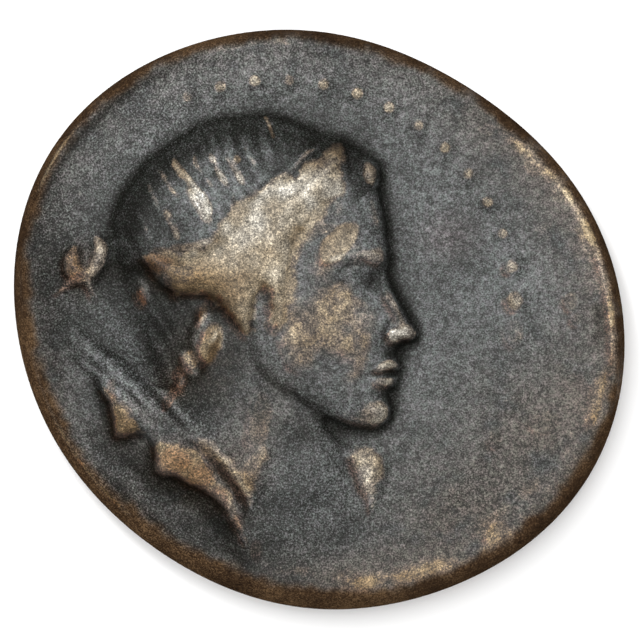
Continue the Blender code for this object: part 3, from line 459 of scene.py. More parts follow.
# Bare metal: how much of it shows on the roll, then on the cheek, the brow and the high points of the face,
# and on each strand, fold, loop and lock. Two numbers in brackets are where an easing starts and ends.
ROLL_BARE = 0.92
CHEEK_BARE = 0.66
BROW_BARE = 0.4
HIGH_POINTS_BARE = 0.6
STREAKS_BARE = (0.95, 0.85, 0.6, 0.62, 0.66, 0.55, 0.66, 0.55, 0.52, 0.36, 0.34)
STREAK_TOP = (0.1, 0.6)
COMBED_BARE = ((-4.6, 4.6), (2.4, 2.2), 25, 0.35)
COMBED_TOP = (0.02, 0.12)
FOLDS_BARE = (0.76, 0.8, 0.58, 0.62)
FOLD_RUBBED = (-0.12, 0.32)
FOLD_FRAYED = 0.6
KNOT_BARE = (0.48, 0.52, 0.42, 0.42)
TAIL_LOCK_BARE = 0.44
ROLL_RUBBED = (-0.3, 0.3)
# Where the roll is less bare
ROLL_SPARED = (
    ((-6.0, 2.0), (1.6, 0.9), 0, 0.3),
    ((0.5, 6.2), (1.5, 1.1), 45, 0.26),
)
# Wear of the face, by how high its relief stands in mm. The cheek ends and the brow starts at heights
# given in shares of the head over its middle.
CHEEK_SOFT = 0.25
CHEEK_RUBBED = (0.84, 1.08)
CHEEK_TOP = 0.04
CHEEK_FADE = (-0.6, 0.6)
CHEEK_SPARED = ((-0.75, 1.5), (0.75, 1.1), 0, 0.9)
BROW_RUBBED = (0.98, 1.14)
BROW_FOOT = 0.03
BROW_FADE = (0, 0.8)
SURROUNDINGS = 0.5
HIGH_POINTS = (0.06, 0.2)
ON_FACE = (0.3, 0.5)
# The face's low parts, painted darker for dirt and as painted shade: softness, level, depth and inside that
# bound them, and amount
SUNK_SOFT = 0.2
SUNK_LEVEL = 0.88
SUNK_DEPTH = (0.0, 0.35)
SUNK_INSIDE = (0.2, 0.4)
SUNK_DIRT_AND_SHADE = 0.6
# Unevenness of the wear, and of the dirt and painted shade on the rim: layers of amount, size in mm and
# seed
FACE_PATCHY = ((0.1, 0.9, 24), (0.05, 0.35, 25))
FRAYED = ((0.16, 0.45, 22), (0.12, 0.2, 23))
STRANDS_PATCHY = ((0.5, 0.32, 26),)
STRANDS_EVEN = 0.8
BARE_PATCHY = ((0.2, 0.55, 17),)
PALE_PATCHY = ((0.35, 0.6, 20),)
RIM_PATCHY = ((0.45, 0.8, 14),)
RIM_RAGGED = ((0.12, 0.8, 15), (0.1, 0.3, 27))
RIM_DIRT_SHADE_PATCHY = ((0.35, 1.1, 28),)
# Rubbed spots: middle, radii, turn and bare metal
RUBBED_SPOTS = (
    ((1.83, 5.62), (0.28, 0.5), 12, 0.6),  # curl over the brow
    ((-4.62, 4.4), (0.42, 0.95), 28, 0.66),  # the widest strand
    ((-3.1, 6.2), (0.14, 0.2), 30, 0.7),
    ((0.65, 3.0), (1.05, 0.55), 45, 0.95),  # lock at the temple
    ((-4.14, -0.9), (0.4, 0.9), -14, 0.84),  # ear and curls
    ((-4.42, 0.25), (0.18, 0.5), -8, 0.6),
    ((-4.95, -1.5), (0.34, 0.4), 10, 0.6),
    ((-6.93, 0.92), (0.17, 0.33), 35, 0.5),
    ((-2.3, -3.9), (0.5, 1.3), -10, 0.42),  # neck
    ((7.55, 0.75), (0.36, 0.42), 0, 0.6),
    ((7.35, 2.15), (0.26, 0.3), 0, 0.48),
    ((7.5, -0.5), (0.42, 0.6), 0, 0.3),
    ((9.65, 0.75), (0.26, 0.4), 0, 0.4),
    ((9.85, 0.1), (0.22, 0.3), 0, 0.42),
    ((8.7, -3.9), (0.7, 0.45), 0, 0.3),
    ((6.8, -4.7), (0.32, 0.32), 0, 0.34),
    ((8.6, 3.4), (0.5, 0.5), 0, 0.3),
    ((9.2, 5.0), (0.7, 0.5), 0, 0.34),
    ((6.9, -8.3), (0.7, 0.55), 0, 0.56),
    ((8.2, 6.0), (0.4, 0.5), 0, 0.38),
    ((6.5, 7.4), (0.6, 0.4), 0, 0.3),
    ((-9.2, 5.0), (0.3, 0.3), 0, 0.25),
)
# Rubbed lines: points, half width and bare metal
RUBBED_LINES = (
    (((0.35, 4.6), (-0.2, 3.95), (-0.7, 3.1), (-1.1, 2.2)), 0.22, 0.6),  # the roll's soft side
    (((-5.6, 2.75), (-4.7, 2.8), (-4.0, 3.15)), 0.16, 0.6),
    (((-1.6, 5.3), (-0.95, 5.95), (-0.45, 6.45)), 0.09, 0.4),  # brow band
    (((-2.15, 7.7), (-2.02, 7.35), (-1.85, 7.0)), 0.07, 0.62),  # top of the crown
)
# The whitest metal on the roll, partly a painted highlight on its lit top, and other pale places: middle,
# radii, turn and paleness
ROLL_WHITE = (
    ((-2.3, 3.4), (2.2, 1.3), 38, 0.58),
    ((-1.6, 4.9), (1.5, 0.6), 38, 0.62),
    ((-4.4, 2.7), (1.4, 0.45), 10, 0.62),
    ((-0.1, 4.7), (1.2, 1.0), 45, 0.5),
    ((-1.7, 2.2), (0.7, 1.3), -10, 0.6),
    ((-2.4, 0.7), (1.3, 1.2), 0, 0.42),
    ((-3.3, 3.2), (1.1, 0.8), 30, 0.55),
)
PALE_SPOTS = (
    ((1.75, -5.9), (0.6, 1.2), 0, 0.3),
    ((-4.62, 4.4), (0.5, 1.0), 28, 0.5),
)
CHEEK_PALE = 0.15
BROW_PALE = 0.25
HIGH_POINTS_PALE = 0.3
STRANDS_PALE = 0.85
STRANDS_PALE_FROM = (-5.6, -4.6)
# Painted highlights on small crests: how far round they are told in mm, the height that starts and ends
# them, and how pale
CREST_REACH = 0.15
CREST_HEIGHT = (0.005, 0.05)
CREST_HIGHLIGHT = 0.5
CLOTH_DULL = 0.8
CHEEK_WARM = 0.55
BROW_WARM = 0.4

# Painted highlights: the patina painted a lighter grey along ridges that catch the light: points, half
# width and amount
GLEAMS = (
    (((-8.9, -1.25), (-7.9, -1.95), (-7.3, -2.45), (-6.45, -3.45), (-6.0, -4.2)), 0.24, 0.9),
    (((-8.4, -2.2), (-7.35, -3.15), (-6.65, -4.0), (-6.3, -4.5)), 0.24, 1.0),
    (((-6.0, -3.0), (-5.65, -3.35), (-5.05, -3.75), (-4.4, -4.45)), 0.2, 0.8),
    (((-8.8, 0.8), (-8.1, 0.0), (-7.4, -0.8), (-6.6, -1.7)), 0.5, 0.5),
    (((-8.1, 3.2), (-7.95, 2.7), (-8.15, 2.1)), 0.28, 0.75),
    (((-3.9, -0.2), (-3.75, -0.7), (-3.85, -1.3)), 0.14, 0.7),
    (((-3.7, 5.8), (-3.2, 5.1), (-2.7, 5.3)), 0.55, 0.85),
    (((-5.0, 3.5), (-4.6, 3.0), (-4.0, 3.1)), 0.38, 0.8),
    (((-4.4, 5.2), (-3.95, 4.5), (-3.8, 3.9)), 0.45, 0.9),
    (((-2.35, 1.2), (-2.3, 0.5), (-2.5, -0.1)), 0.26, 0.8),
)
# Cloth and ribbon where no highlight is painted on the crests: middle, radii, turn and amount
NO_CREST_HIGHLIGHT = (
    ((-5.0, -6.0), (2.2, 1.1), -40, 1.0),
    ((-7.6, -3.9), (0.8, 0.9), 0, 1.0),
    ((-9.3, 1.9), (0.5, 1.1), 0, 1.0),
    ((1.8, -6.0), (0.7, 1.4), 10, 0.8),
)
# Red-brown rust: middle, radii, turn and amount
RUST_SPOTS = (
    ((-8.0, -2.7), (0.16, 0.5), 0, 0.6),
    ((-6.93, 0.9), (0.24, 0.4), 0, 0.85),
    ((-9.4, 2.2), (0.4, 0.8), 0, 0.25),
    ((-6.2, 2.2), (0.55, 0.4), 0, 0.5),
    ((-4.6, 0.1), (0.16, 0.3), 0, 0.6),
    ((-5.5, -2.7), (0.35, 0.25), 0, 0.8),
    ((-8.95, -6.3), (0.2, 0.35), 0, 0.8),
    ((-9.3, -5.6), (0.2, 0.25), 0, 0.7),
    ((-8.1, -7.1), (0.3, 0.25), 0, 0.7),
    ((-7.0, -7.9), (0.35, 0.25), 0, 0.6),
    ((-3.2, -7.9), (0.3, 0.5), 0, 0.5),
    ((-2.4, -8.9), (0.3, 0.4), 0, 0.5),
    ((-5.5, -5.4), (0.7, 0.5), 0, 0.5),
    ((-4.5, -6.0), (0.6, 0.5), 0, 0.5),
    ((-3.9, -6.9), (0.35, 0.45), 0, 0.5),
)
# The rust beside rubbed places: how far off in mm, the step in bare metal that bears it, how low it lies
# and how strong it is, then on the hanging lock and the knot's end
RUST_BESIDE = 0.15
RUST_STEP = (0.06, 0.4)
RUST_BELOW = (-3.0, -2.0)
RUST_FRINGE = 0.8
RUST_ON_ENDS = 0.6
# Metal along the rim, and thin bright lines painted as highlights where its rounded shoulder catches the
# light:
# bearing, half length in degrees, distance inwards, half width, bare and pale
RIM_METAL_AND_HIGHLIGHTS = (
    (31, 16, 0.62, 0.32, 0.58, 0.35),
    (16, 18, 0.44, 0.11, 1.35, 1.0),
    (-1, 10, 0.46, 0.1, 1.25, 0.85),
    (-8, 8, 0.14, 0.1, 0.6, 0.2),
    (12, 8, 0.8, 0.34, 0.55, 0.2),
    (14, 7, 0.8, 0.24, 0.6, 0.3),
    (-16, 7, 0.74, 0.28, 0.62, 0.05),
    (-24, 8, 1.3, 0.55, 0.34, 0.1),
    (-73, 13, 0.98, 0.46, 0.7, 0.0),
    (-46, 12, 1.5, 0.5, 0.42, 0.1),
    (-95, 14, 1.35, 0.4, 0.4, 0.0),
    (-58, 8, 0.75, 0.3, 0.55, 0.0),
    (104, 10, 0.5, 0.12, 0.5, 0.2),
    (208, 20, 0.42, 0.12, 0.98, 0.05),
    (147, 9, 0.31, 0.06, 1.0, 0.45),
    (172, 10, 0.33, 0.08, 0.7, 0.0),
    (-52, 26, 0.9, 0.34, 0.42, 0.0),
    (-17, 6, 0.95, 0.24, 0.56, 0.15),
)
# How far the brown of the edge comes in over the rim: bearing and width
BROWN_BAND = (
    (-180, 0.56), (-165, 0.8), (-150, 0.74), (-135, 0.7), (-115, 0.82), (-88, 0.8), (-75, 0.62),
    (-60, 0.62), (-45, 0.66), (-30, 0.62), (-15, 0.3), (0, 0.4), (45, 0.36), (60, 0.27), (75, 0.4),
    (90, 0.38), (105, 0.26), (120, 0.36), (135, 0.42), (150, 0.44), (165, 0.52), (180, 0.56),
)
# How dark dirt and painted shade leave that brown: bearing and amount
BROWN_DIRT_AND_SHADE = (
    (-180, 0.85), (-168, 0.35), (-150, 0.3), (-135, 0.55), (-120, 0.34), (-105, 0.58), (-90, 0.45),
    (-75, 0.7), (-60, 1.0), (-45, 1.0), (-30, 0.9), (-15, 0.65), (0, 0.95), (15, 0.95), (30, 0.42),
    (45, 0.8), (60, 0.6), (75, 1.0), (90, 0.9), (105, 0.9), (120, 1.0), (135, 0.75), (165, 0.85),
    (180, 0.85),
)
# Lower edges of the folds, left dark as painted shade where they curve away: middle, radii, turn and amount
FOLD_SHADED_EDGES = (
    ((-6.05, -6.0), (0.8, 0.3), -12, 0.8),
    ((-5.0, -6.4), (0.9, 0.28), -35, 0.6),
    ((-4.0, -7.2), (0.5, 0.8), 40, 0.75),
    ((-7.9, -4.7), (0.5, 0.35), 0, 0.9),
)
# Places kept free of dirt and painted shade: middle, radii, turn and amount
CLEAN = (
    ((-2.4, 0.6), (0.5, 0.9), 0, 0.85),
    ((-6.7, -4.55), (0.45, 0.35), 0, 0.85),
    ((-6.8, -2.25), (0.7, 0.35), -45, 0.75),
    ((-4.6, 0.8), (0.5, 0.5), 0, 0.5),
    ((-3.9, 4.3), (0.6, 1.4), -20, 0.8),
    ((-4.6, 3.0), (0.8, 0.4), 0, 0.8),
    ((-3.1, 5.9), (0.5, 0.7), 30, 0.8),
    ((-6.9, 8.6), (3.4, 1.4), 35, 0.5),
    ((-8.8, 2.4), (0.45, 0.8), 0, 0.85),
    ((1.6, -5.7), (0.7, 1.2), 0, 0.7),
)
# Dirt and a painted shadow in the groove inside the rim: bearing, half length in degrees, distance inwards,
# half width, amount
RIM_GROOVE_DIRT_AND_SHADE = (
    (150, 32, 0.6, 0.22, 0.75),
    (120, 8, 0.44, 0.12, 0.6),
    (226, 12, 0.95, 0.34, 0.7),
    (258, 10, 0.7, 0.28, 0.5),
    (-1, 4, 1.02, 0.26, 0.5),
    (-10, 5, 0.58, 0.16, 0.55),
    (-34, 12, 0.75, 0.25, 0.4),
)
# How the edge's brown fades inwards in mm; how even the rubbed metal and how ragged the dirt and painted
# shade of the rim are; and the film of warm patina inside it: its width, its amount, and what the lower
# right adds
BROWN_FADE = (-0.22, 0.24)
RIM_EVEN = 0.85
GROOVE_RAGGED = 0.5
FILM_WIDTH = 2.1
FILM = 0.45
FILM_FULLEST = 0.55
FILM_STARTS = (-115, -80)
FILM_ENDS = (-70, -40)
# Dirt and painted shade in creases and in the hollow round the figure, painted shade on steep sides, and
# none on the crests: how far round the relief is compared with its surroundings in mm, the difference that
# starts and ends it, and its amount
CREASES = (0.3, 0.01, 0.12, 0.7)
MOAT_DIRT_AND_SHADE = (0.7, 0.04, 0.34, 0.65)
STEEP_SHADE = (0.1, 0.5, 1.6, 0.7)
CRESTS_CLEAN = (0.2, 0.0, 0.06, 0.6)
# Dirt and painted shade over the crown's sloping edge and in the hollow beside it: the points of its
# outline, widths in mm and amount
CROWN_BACK = 12
CROWN_DIRT_SHADE_REACH = 2.0
CROWN_DIRT_SHADE_INSIDE = (0.6, 1.6)
CROWN_DIRT_SHADE_OUTSIDE = 0.12
CROWN_DIRT_SHADE_BEHIND = 0.35
CROWN_BEHIND = (5.0, 7.5)
CROWN_DIRT_AND_SHADE = 0.85
# Places painted darker, for dirt that has stayed in the patina and as painted shade under and behind the
# relief: middle, radii, turn and amount
DIRT_AND_SHADE_PATCHES = (
    ((-7.1, 3.2), (1.3, 2.3), -25, 0.5),  # back of the crown
    ((-1.2, 6.9), (2.6, 1.0), -8, 0.7),  # over the brow band
    ((-4.2, 0.7), (1.5, 0.55), -15, 0.9),  # under the roll of hair
    ((-6.4, -0.2), (1.8, 2.7), 12, 0.86),  # nape
    ((-5.0, -2.7), (1.5, 1.6), 30, 0.74),  # shoulder under it
    ((-3.4, -1.0), (0.6, 1.2), 10, 0.4),  # behind the jaw
    ((-5.9, -0.9), (0.6, 1.1), 0, 0.5),
    ((-6.0, -3.4), (0.4, 0.7), 0, 0.4),
    ((-7.3, -7.1), (0.55, 0.4), -42, 0.45),
    ((-6.25, 2.15), (0.6, 0.42), 0, 0.75),  # tip of the roll of hair
    ((3.6, 10.1), (1.3, 0.4), -20, 0.45),
    ((1.4, -7.5), (1.0, 0.6), 0, 0.3),
    ((-7.6, -6.8), (0.9, 0.5), -42, 0.35),
    ((-8.0, 2.0), (0.6, 1.4), 10, 0.5),  # before the knot
    ((-10.3, 0.9), (1.7, 3.7), 0, 0.72),  # behind the knot
    ((-9.45, 2.0), (0.45, 0.9), 0, 0.55),  # the knot's left lobe
    ((-2.5, -1.1), (0.7, 0.7), 0, 0.45),
    ((-4.8, -7.4), (3.4, 1.0), -42, 0.55),  # under the bust
    ((-8.2, -4.8), (1.0, 0.7), -40, 0.4),  # under the shoulder
    ((-3.0, -8.8), (5.5, 2.6), -25, 0.38),
    ((5.5, -6.5), (4.2, 3.8), 0, 0.18),
    ((0.0, -4.1), (1.6, 0.8), 10, 0.45),  # throat
    ((-0.82, 3.48), (0.17, 0.14), 0, 0.9),  # a pit in the roll of hair
)
# Places where the patina is warm and brownish: middle, radii, turn and amount
WARM = (
    ((8.6, -4.6), (2.2, 3.0), 35, 0.95),
    ((5.6, -8.0), (3.6, 1.9), 35, 1.0),
    ((1.4, -9.9), (3.4, 1.1), 5, 0.95),
    ((4.8, -6.0), (3.4, 2.6), 0, 0.35),
    ((-2.2, -3.4), (1.7, 1.9), 0, 0.45),
    ((-3.9, -2.0), (0.8, 1.0), 0, 0.6),
    ((-7.7, -7.3), (5.2, 1.0), -42, 0.9),
    ((10.0, -3.0), (1.1, 2.6), 15, 1.0),
    ((-10.5, -2.4), (0.9, 2.0), 10, 0.7),
    ((-5.0, -6.0), (2.4, 1.2), -40, 1.0),
    ((-7.6, -4.0), (0.8, 0.8), 0, 0.9),
    ((-3.0, -5.7), (1.0, 1.3), 0, 0.8),
    ((-9.2, 1.9), (0.8, 1.1), 0, 0.95),
    ((-4.6, -1.2), (1.0, 1.4), 20, 0.7),
    ((-6.2, 1.5), (1.5, 0.5), -10, 0.6),
    ((-3.0, 0.2), (0.9, 0.9), 0, 0.4),
    ((-4.3, 1.6), (1.7, 0.65), -8, 1.0),
    ((-1.9, 2.1), (0.9, 1.2), 0, 0.6),
    ((-5.6, -2.3), (0.7, 0.9), 0, 0.9),
)
# Places where the patina is coarse
COARSE = (
    ((-6.0, 8.4), (5.5, 2.6), 35, 1.0),
    ((1.0, 9.5), (5.0, 1.5), -10, 0.6),
    ((-10.2, 3.0), (1.4, 4.0), 10, 1.0),
    ((-7.0, -2.4), (2.6, 1.2), -42, 1.0),
    ((-5.0, -3.6), (1.6, 0.8), -42, 0.8),
    ((-7.0, -7.2), (4.4, 1.2), -42, 1.0),
    ((-0.5, -7.6), (3.4, 2.6), 0, 0.6),
    ((6.5, -7.0), (2.6, 2.2), 35, 0.6),
)

# Studio
FLOOR_SIZE = 3.0
FLOOR_GREY = 0.92
FLOOR_ROUGHNESS = 0.8
SKY = 0.35
# Softboxes: name, azimuth, elevation, distance and width in metres, and power
SOFTBOXES = (
    ("key", 122, 48, 0.4, 0.1, 0.7),
    ("overhead", 115, 80, 0.45, 0.55, 3.2),
)
CAMERA_HEIGHT = 0.4
FRAME_WIDTH = 24.64

# Drawn lines fade at their ends, over a share of their length, to a least height. Rubbed metal has a hard
# edge: how far past its radii or half width it starts, and over how much more it is full.
LINE_ENDS = 0.25
LINE_LEAST = 0.15
SPOT_REACH = 1.25
SPOT_EDGE = 0.6
RUB_REACH = 2.0
RUB_EDGE = 1.6
CREST_EDGE = 0.4
RIM_REACH = 1.5

# Sheet and mesh: the square sheet's step and half width in mm; the cells across the coin's mesh, the share
# of its radius where they crowd to the edge, and how they are drawn together at the head
SHEET_STEP = 0.05
SHEET_HALF = 12.6
CELLS = 272
EDGE_ZONE = 0.9
CROWDING = 0.22
HEAD_ON_GRID = (-0.25, 0.12)


# ---------------------------------------------------------------- drawing on the sheet
def curve_through(points, steps, closed=False):
    """A smooth curve through points, whose further columns are carried along."""
    points = np.asarray(points, float)
    if closed:
        chain = np.vstack([points[-1], points, points[:2]])
    else:
        chain = np.vstack([2 * points[0] - points[1], points, 2 * points[-1] - points[-2]])
    a, b, c, d = chain[:-3, None], chain[1:-2, None], chain[2:-1, None], chain[3:, None]
    t = (np.arange(steps) / steps)[None, :, None]
    bend = 2 * a - 5 * b + 4 * c - d + t * (3 * (b - c) + d - a)
    path = (b + 0.5 * t * (c - a + t * bend)).reshape(-1, points.shape[1])
    return path if closed else np.vstack([path, points[-1]])


def nearest(x, y, path, reach):
    """Distance to a path, reach at most, the path's further columns there and the share of its length."""
    low = path[:, :2].min(0) - reach
    high = path[:, :2].max(0) + reach
    near = (x > low[0]) & (x < high[0]) & (y > low[1]) & (y < high[1])
    px, py = x[near], y[near]
    distance = np.full(px.shape, float(reach))
    share = np.zeros(px.shape)
    further = np.zeros((path.shape[1] - 2,) + px.shape)
    moves = np.diff(path, axis=0)
    sizes = np.hypot(moves[:, 0], moves[:, 1])
    run = np.concatenate([[0], np.cumsum(sizes)])
    for start, move, size, done in zip(path, moves, sizes, run):
        dx, dy = px - start[0], py - start[1]
        t = np.clip((dx * move[0] + dy * move[1]) / size**2, 0, 1)
        gap = np.hypot(dx - t * move[0], dy - t * move[1])
        closer = gap < distance
        distance = np.where(closer, gap, distance)
        share = np.where(closer, (done + t * size) / run[-1], share)
        for column in range(len(further)):
            value = start[2 + column] + t * move[2 + column]
            further[column] = np.where(closer, value, further[column])
    layers = [np.full(x.shape, float(reach))] + [np.zeros(x.shape) for _ in range(len(further) + 1)]
    for layer, part in zip(layers, [distance, share, *further]):
        layer[near] = part
    return layers[0], layers[1], layers[2:]


def depth_inside(x, y, points, reach, steps=6):
    """Distance inwards from a closed outline through points, reach at most, and below 0 outside it."""
    outline = curve_through(points, steps, True)
    ring = np.vstack([outline, outline[:1]])
    inside = np.zeros(x.shape, bool)
    for (ax, ay), (bx, by) in zip(ring[:-1], ring[1:]):
        if ay != by:
            inside ^= ((ay > y) != (by > y)) & (x < (bx - ax) * (y - ay) / (by - ay) + ax)
    depth = nearest(x, y, ring, reach)[0]
    return np.where(inside, depth, -depth)


def quarter_round(depth, width):
    """0 at an edge, rising steeply and levelling off to 1 at width."""
    left = 1 - np.clip(depth / width, 0, 1)
    return np.sqrt(1 - left * left)


def ease(value, start, end):
    """0 before start, 1 after end, smooth between."""
    t = np.clip((value - start) / (end - start), 0, 1)
    return t * t * (3 - 2 * t)


def higher(a, b, blend):
    """The higher of two reliefs, with a small fillet where they meet."""
    return 0.5 * (a + b + np.sqrt((a - b) ** 2 + blend**2))


def turned(x, y, middle, turn):
    """Places measured from a middle, along and across a direction in degrees."""
    c, s = math.cos(math.radians(turn)), math.sin(math.radians(turn))
    dx, dy = x - middle[0], y - middle[1]
    return dx * c + dy * s, dy * c - dx * s


def swelling(x, y, middle, radii, turn, height):
    """A soft swelling or patch, with no edge of its own."""
    a, b = turned(x, y, middle, turn)
    return height * np.exp(-((a / radii[0]) ** 2) - (b / radii[1]) ** 2)


def dome(x, y, middle, radii, turn=0, height=1):
    """Half a ball, stretched to its radii."""
    a, b = turned(x, y, middle, turn)
    return height * np.sqrt(np.clip(1 - (a / radii[0]) ** 2 - (b / radii[1]) ** 2, 0, None))


def line(x, y, points, width, height=1):
    """A ridge or groove along points, soft to its sides and fading at its ends."""
    reach = 3 * width
    distance, share, _ = nearest(x, y, curve_through(points, 6), reach)
    fade = ease(share, 0, LINE_ENDS) * ease(1 - share, 0, LINE_ENDS)
    fade = LINE_LEAST + (1 - LINE_LEAST) * fade
    return height * np.where(distance < reach, np.exp(-1.5 * (distance / width) ** 2) * fade, 0)


def ridge(x, y, rows):
    """A rounded ridge along rows of x, y, half width and height."""
    path = curve_through(rows, 8)
    distance, _, (width, height) = nearest(x, y, path, path[:, 2].max())
    return height * np.sqrt(np.clip(1 - (distance / np.maximum(width, 1e-6)) ** 2, 0, None))


def blurred(sheet, reach):
    """A sheet softened over a reach in mm."""
    sigma = reach / SHEET_STEP
    count = math.ceil(3 * sigma)
    weights = np.exp(-0.5 * (np.arange(-count, count + 1) / sigma) ** 2)
    weights /= weights.sum()
    for axis in (0, 1):
        margins = [(count, count) if axis == side else (0, 0) for side in (0, 1)]
        wide = np.pad(sheet, margins, mode="edge")
        places = np.arange(sheet.shape[axis])
        sheet = sum(weight * wide.take(places + k, axis) for k, weight in enumerate(weights))
    return sheet


def clouds(x, y, size, seed):
    """Smooth noise between -1 and 1 in lumps of a size in mm."""
    count = math.ceil(2 * SHEET_HALF / size) + 4
    lattice = np.random.default_rng(seed).uniform(-1, 1, (count, count))
    across, up = (x + SHEET_HALF) / size + 1, (y + SHEET_HALF) / size + 1
    column, row = across.astype(int), up.astype(int)
    tx, ty = ease(across - column, 0, 1), ease(up - row, 0, 1)
    below = lattice[row, column] * (1 - tx) + lattice[row, column + 1] * tx
    above = lattice[row + 1, column] * (1 - tx) + lattice[row + 1, column + 1] * tx
    return below * (1 - ty) + above * ty


def most(*sheets):
    """The highest of several sheets at each place."""
    total = sheets[0]
    for sheet in sheets[1:]:
        total = np.maximum(total, sheet)
    return total


def proud(relief, reach, start, end):
    """1 where a relief stands above what surrounds it within a reach, 0 where it is level with it."""
    return ease(relief - blurred(relief, reach), start, end)


def cloudy(x, y, layers):
    """Noise summed from layers of height, size in mm and seed."""
    return sum(height * clouds(x, y, size, seed) for height, size, seed in layers)


def rounded(depth, steps):
    """A form that rises from its outline by quarter rounds of height and width."""
    return sum(height * quarter_round(depth, width) for height, width in steps)


def drawn(x, y, form, rows):
    """The sum of swellings, domes or lines, one for each row of a table."""
    return sum(form(x, y, *row) for row in rows)


def joined(x, y, relief, form, rows):
    """A relief with raised forms, one for each row, set into it with small fillets."""
    for row in rows:
        relief = higher(relief, form(x, y, *row), FILLET)
    return relief


def most_of(x, y, form, rows):
    """The highest of the forms of a table at each place."""
    return most(*(form(x, y, *row) for row in rows))


# ---------------------------------------------------------------- obverse
def flan_radius(angle):
    radius = np.full_like(angle, FLAN_RADIUS)
    for count, size, towards in FLAN_WAVES:
        radius += size * np.cos(count * (angle - math.radians(towards)))
    return radius


def side_weight(angle, towards):
    """1 on the side of the flan that faces a direction, 0 on the other half."""
    return np.clip(np.cos(angle - math.radians(towards)), 0, None)


def face(x, y):
    u, v = turned(x, y, HEAD_AT, 0)
    u, v = u / HEAD_HEIGHT, v / HEAD_HEIGHT
    depth = depth_inside(u, v, PROFILE, FACE_DEPTH)
    relief = rounded(depth, FACE_STEPS)
    for form, rows in ((swelling, FACE_SWELLS), (dome, FACE_DOMES), (line, FACE_LINES)):
        relief += drawn(u, v, form, rows)
    return np.where(depth > 0, relief, 0)


def crown(x, y):
    """The cap of combed hair, its strands running to one far point below the chin."""
    depth = depth_inside(x, y, CROWN, CROWN_DEPTH)
    dx, dy = x - STRANDS_MEET[0], y - STRANDS_MEET[1]
    swing, pace = STRAND_WAVE
    turn = np.degrees(np.arctan2(dy, dx)) + swing * np.sin(pace * np.hypot(dx, dy))
    strand = (turn + cloudy(x, y, STRAND_SWAY)) / STRAND_TURN
    number = np.floor(strand)
    sides = np.abs(2 * (strand - number) - 1) ** STRAND_ROUNDNESS
    cord = np.sqrt(np.clip(1 - sides, 0, 1)) - STRAND_LEVEL
    middling, uneven, shuffle = STRAND_STRENGTH
    strength = (middling + uneven * np.sin(shuffle * number)) * (1 + cloudy(x, y, STRAND_WEAR))
    forward = ease(x - STRANDS_WORN_LEAN * y, *STRANDS_WORN_FROM)
    strength *= ease(depth, *STRANDS_START) * (1 - STRANDS_WORN * forward)
    relief = rounded(depth, CROWN_STEPS) + STRAND_DEPTH * strength * cord
    return np.where(depth > 0, relief + drawn(x, y, line, STREAKS + BROW_BAND), 0)


def hair_roll(x, y):
    """The broad roll from brow to nape: steep over the nape, running softly into the crown and the brow."""
    depth = depth_inside(x, y, HAIR_ROLL, ROLL_DEPTH, 5)
    _, above = turned(x, y, ROLL_MIDDLE, ROLL_TURN)
    soft = np.maximum(ease(above, *ROLL_SOFT_ABOVE), ease(x, *ROLL_SOFT_RIGHT))
    steep = ROLL_FOOT + rounded(depth, ROLL_STEPS)
    gentle = ROLL_SOFT_FOOT + ROLL_SOFT_RISE * ease(depth, *ROLL_SOFT_WIDTH)
    return np.where(depth > 0, steep + (gentle - steep) * soft + drawn(x, y, line, ROLL_CREASES), 0)


def nape(x, y):
    """Hair combed down behind the ear."""
    depth = depth_inside(x, y, NAPE, NAPE_DEPTH)
    swing, pace = NAPE_WAVE
    strands = np.cos(2 * math.pi * ((x + NAPE_LEAN * y) / NAPE_STRAND + swing * np.sin(pace * y)))
    strands *= NAPE_STRAND_HEIGHT * ease(depth, *NAPE_STRANDS_START)
    return np.where(depth > 0, rounded(depth, NAPE_STEPS) + strands, 0)


def bust(x, y):
    """Neck and shoulders, fading into the field at the foot and the front."""
    depth = depth_inside(x, y, BUST, BUST_DEPTH)
    left = 1 - FOOT_SINKS * ease(-y, *FOOT_FROM)
    left *= 1 - FRONT_SINKS * ease(x - FRONT_LEAN * y, *FRONT_FROM)
    cut = swelling(x, y, *CUT) * quarter_round(depth, CUT_WIDTH)
    relief = np.where(depth > 0, rounded(depth, BUST_STEPS) * left + cut, 0)
    return higher(relief, ridge(x, y, NECK), FILLET) + drawn(x, y, line, BUST_LINES)


def curls(x, y, relief):
    """The ear, the curls before and behind it, and the lock that hangs from them."""
    relief = joined(x, y, relief, dome, (EAR,) + CURLS) + swelling(x, y, *EAR_HOLLOW)
    return higher(relief, ridge(x, y, TAIL_LOCK), FILLET)


def knot(x, y, relief):
    """The knot of the hair band behind the head, with its two loops and short ends."""
    return joined(x, y, relief, ridge, [(loop,) for loop in KNOT]) + swelling(x, y, *KNOT_HOLLOW)


def dress(x, y, relief):
    """A ribbon and the folds over the shoulder, and the cut below the bust."""
    relief = higher(relief, ridge(x, y, RIBBON), FILLET)
    for outline, rise in FOLDS:
        depth = depth_inside(x, y, outline, FOLD_DEPTH, 5)
        relief += rise * blurred(quarter_round(np.maximum(depth, 0), FOLD_WIDTH), FOLD_SOFTNESS)
    return relief + drawn(x, y, line, DRESS_LINES)


def drifted(x, y):
    """Places moved a little to and fro: a worn outline has lost its line."""
    return x + cloudy(x, y, DRIFT_ACROSS), y + cloudy(x, y, DRIFT_UP)


def figure(x, y, face_relief):
    x, y = drifted(x, y)
    relief = bust(x, y)
    for form in (nape(x, y), face_relief, crown(x, y), hair_roll(x, y)):
        relief = higher(relief, form, FILLET)
    relief = dress(x, y, knot(x, y, curls(x, y, relief)))
    return 2 * RELIEF_TOP - higher(2 * RELIEF_TOP - relief, RELIEF_TOP, TOP_ROUNDING)


